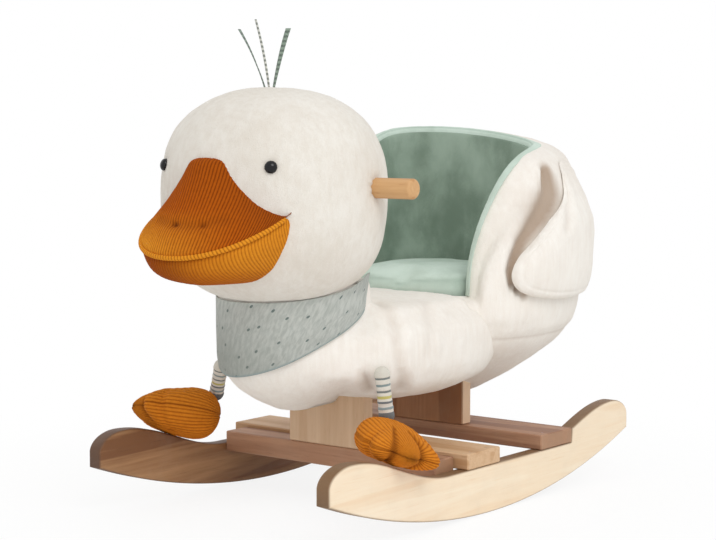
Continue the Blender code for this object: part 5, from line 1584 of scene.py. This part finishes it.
def makeRibbon(name, given):
    # A flat loop of points carried along a bowed line, turned by a set amount at its tip
    share = np.linspace(0, 1, 60)[:, None]
    crown = headSet["centre"][2] + headSet["rise"]
    root = np.array((*given["root"], crown - ribbonSet["sunk"]), float)
    tip = np.array(given["tip"], float)
    path = root + (tip - root) * share
    path[:, [0]] += (tip[0] - root[0]) * ribbonSet["bow"] * (share**2 - share)
    turn = 0.5 + share * given["turn"]
    flat = np.concatenate((np.cos(turn), -np.sin(turn), 0 * turn), 1)[:, None]
    face = np.concatenate((np.sin(turn), np.cos(turn), 0 * turn), 1)[:, None]
    around = turnAngles(24)[None, :, None]
    wide = signedPower(np.cos(around), 0.5) * ribbonSet["width"] / 2
    thick = signedPower(np.sin(around), 0.7) * ribbonSet["thick"] / 2
    cup = 0.9 * np.sin(np.pi * share)[:, None] * (wide / 3) ** 2
    mesh = skinMesh("ribbon", path[:, None] + flat * wide + face * (thick + cup))
    keepValue(mesh, "along", withPoles(np.repeat(share[:, 0] * (tip[2] - root[2]), 24), 0, 70))
    material = makeTape(name, given["light"], given["dark"])
    finishPiece("crown_ribbon_" + name, mesh, material, "ribbon_" + name)


for name in ("left", "middle", "right"):
    makeRibbon(name, ribbonSet[name])
print("ribbons are made")


# Wood: smooth rockers and handle; the other boards keep their own meshes

rockerSet = {
    "length": 600, "radius": 844, "inner": 155.5, "outer": 173.5, "waist": 54.5, "horn": 93.5, "reach": 262,
    "flat": 88, "drop": 22, "notch": (96.7, 166.3), "round": 2.4,
}
handleSet = {"radius": 11, "half": 174, "y": -157, "z": 371, "round": 3.2}


def rockerOutline():
    # A round foot, quarter-oval tips and a cosine rise from the low waist, with the rear bar's notch
    half = rockerSet["length"] / 2
    reach, flat, waist, horn = (rockerSet[key] for key in ("reach", "flat", "waist", "horn"))
    foot = np.linspace(-half, half, 241)
    sole = np.stack((foot, rockerSet["radius"] - np.sqrt(rockerSet["radius"] ** 2 - foot**2)), 1)
    turn = np.linspace(0, np.pi / 2, 26)[1:]
    tip = np.stack((reach + (half - reach) * np.cos(turn), horn - rockerSet["drop"] * (1 - np.sin(turn))), 1)
    y = np.linspace(reach, -reach, 301)[1:-1]
    share = np.clip((reach - np.abs(y)) / (reach - flat), 0, 1)
    rise = waist + (horn - waist) * (1 + np.cos(np.pi * share)) / 2
    low, high = rockerSet["notch"]
    rise = np.where((y > low) & (y < high), waist, rise)
    return np.concatenate((sole, tip, np.stack((y, rise), 1), (tip * (-1, 1))[::-1]))


def makeRocker(side, sign, material):
    # The outline stepped in along its own normal as it nears either face, which rounds the edges
    outline = rockerOutline()
    ahead = np.roll(outline, -1, axis=0) - np.roll(outline, 1, axis=0)
    normal = unit(np.stack((ahead[:, 1], -ahead[:, 0]), 1))
    turn = np.linspace(0, np.pi / 2, 6)
    inset = rockerSet["round"] * (1 - np.sin(turn))
    depth = rockerSet["round"] * (1 - np.cos(turn))
    steps = [(rockerSet["inner"] + given, pull) for given, pull in zip(depth, inset)]
    steps += [(rockerSet["outer"] - given, pull) for given, pull in zip(depth[::-1], inset[::-1])]
    rings = []
    for x, pull in steps:
        drawn = outline - normal * pull
        rings.append(np.column_stack((np.full(len(drawn), sign * x), drawn)))
    rings = np.array(rings)
    rim = np.repeat([1 - pull / rockerSet["round"] for _, pull in steps], len(outline))
    mesh = skinMesh("rocker", rings, False, False)
    count = len(outline)
    faces = [list(range(count)), list(range(len(steps) * count - 1, (len(steps) - 1) * count - 1, -1))]
    points = readPoints(mesh)
    quads = [list(face.vertices) for face in mesh.polygons]
    if sign > 0:
        faces = [face[::-1] for face in faces]
    whole = bpy.data.meshes.new("rocker")
    whole.from_pydata(points.tolist(), [], quads + faces)
    whole.validate()
    keepValue(whole, "edge", np.clip(rim * 1.3 - 0.3, 0, 1))
    finishPiece("rocker_board_" + side, whole, material, "runner_" + side)
    for face in whole.polygons:
        face.use_smooth = len(face.vertices) < 5


def makeHandle():
    # A lathe-turned bar with rounded ends
    turn = np.linspace(0, np.pi / 2, 8)
    radius, half, soft = handleSet["radius"], handleSet["half"], handleSet["round"]
    wide = np.concatenate(([radius - soft - 3], radius - soft + soft * np.sin(turn)))
    far = np.concatenate(([half], half - soft + soft * np.cos(turn)))
    wide = np.concatenate((wide, wide[::-1]))
    far = np.concatenate((-far, far[::-1]))
    angle = turnAngles(64)
    y = handleSet["y"] + wide[:, None] * np.cos(angle)
    z = handleSet["z"] + wide[:, None] * np.sin(angle)
    mesh = skinMesh("handle", pointsAt(far[:, None], y, z))
    finishPiece("turned_handle", mesh, beechBar, "handle")


makeRocker("left", 1, beechNear)
makeRocker("right", -1, beechFarShaded)
makeHandle()


def dressNode(name, material):
    # A new material on a piece of the frame that keeps its own mesh
    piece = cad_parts[name]
    piece.data.materials.clear()
    piece.data.materials.append(material)


nodeFinish = {
    "front_crossbar": acaciaPale, "rear_crossbar": acaciaBar, "front_lower_rail": acaciaBar,
    "front_upright": beechUp, "rear_upright": acaciaUpShaded, "neck_post": beechUp, "seat_board": plywood,
    "back_board": plywood, "side_board_left": plywood, "side_board_right": plywood,
    "rail_dowel_left": beechBar, "rail_dowel_right": beechBar,
    "eye_washer_left": blackPlastic, "eye_washer_right": blackPlastic,
}
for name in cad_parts:
    if "screw" in name:
        dressNode(name, steel)
    elif name in nodeFinish:
        dressNode(name, nodeFinish[name])
print("wood and fasteners are dressed")
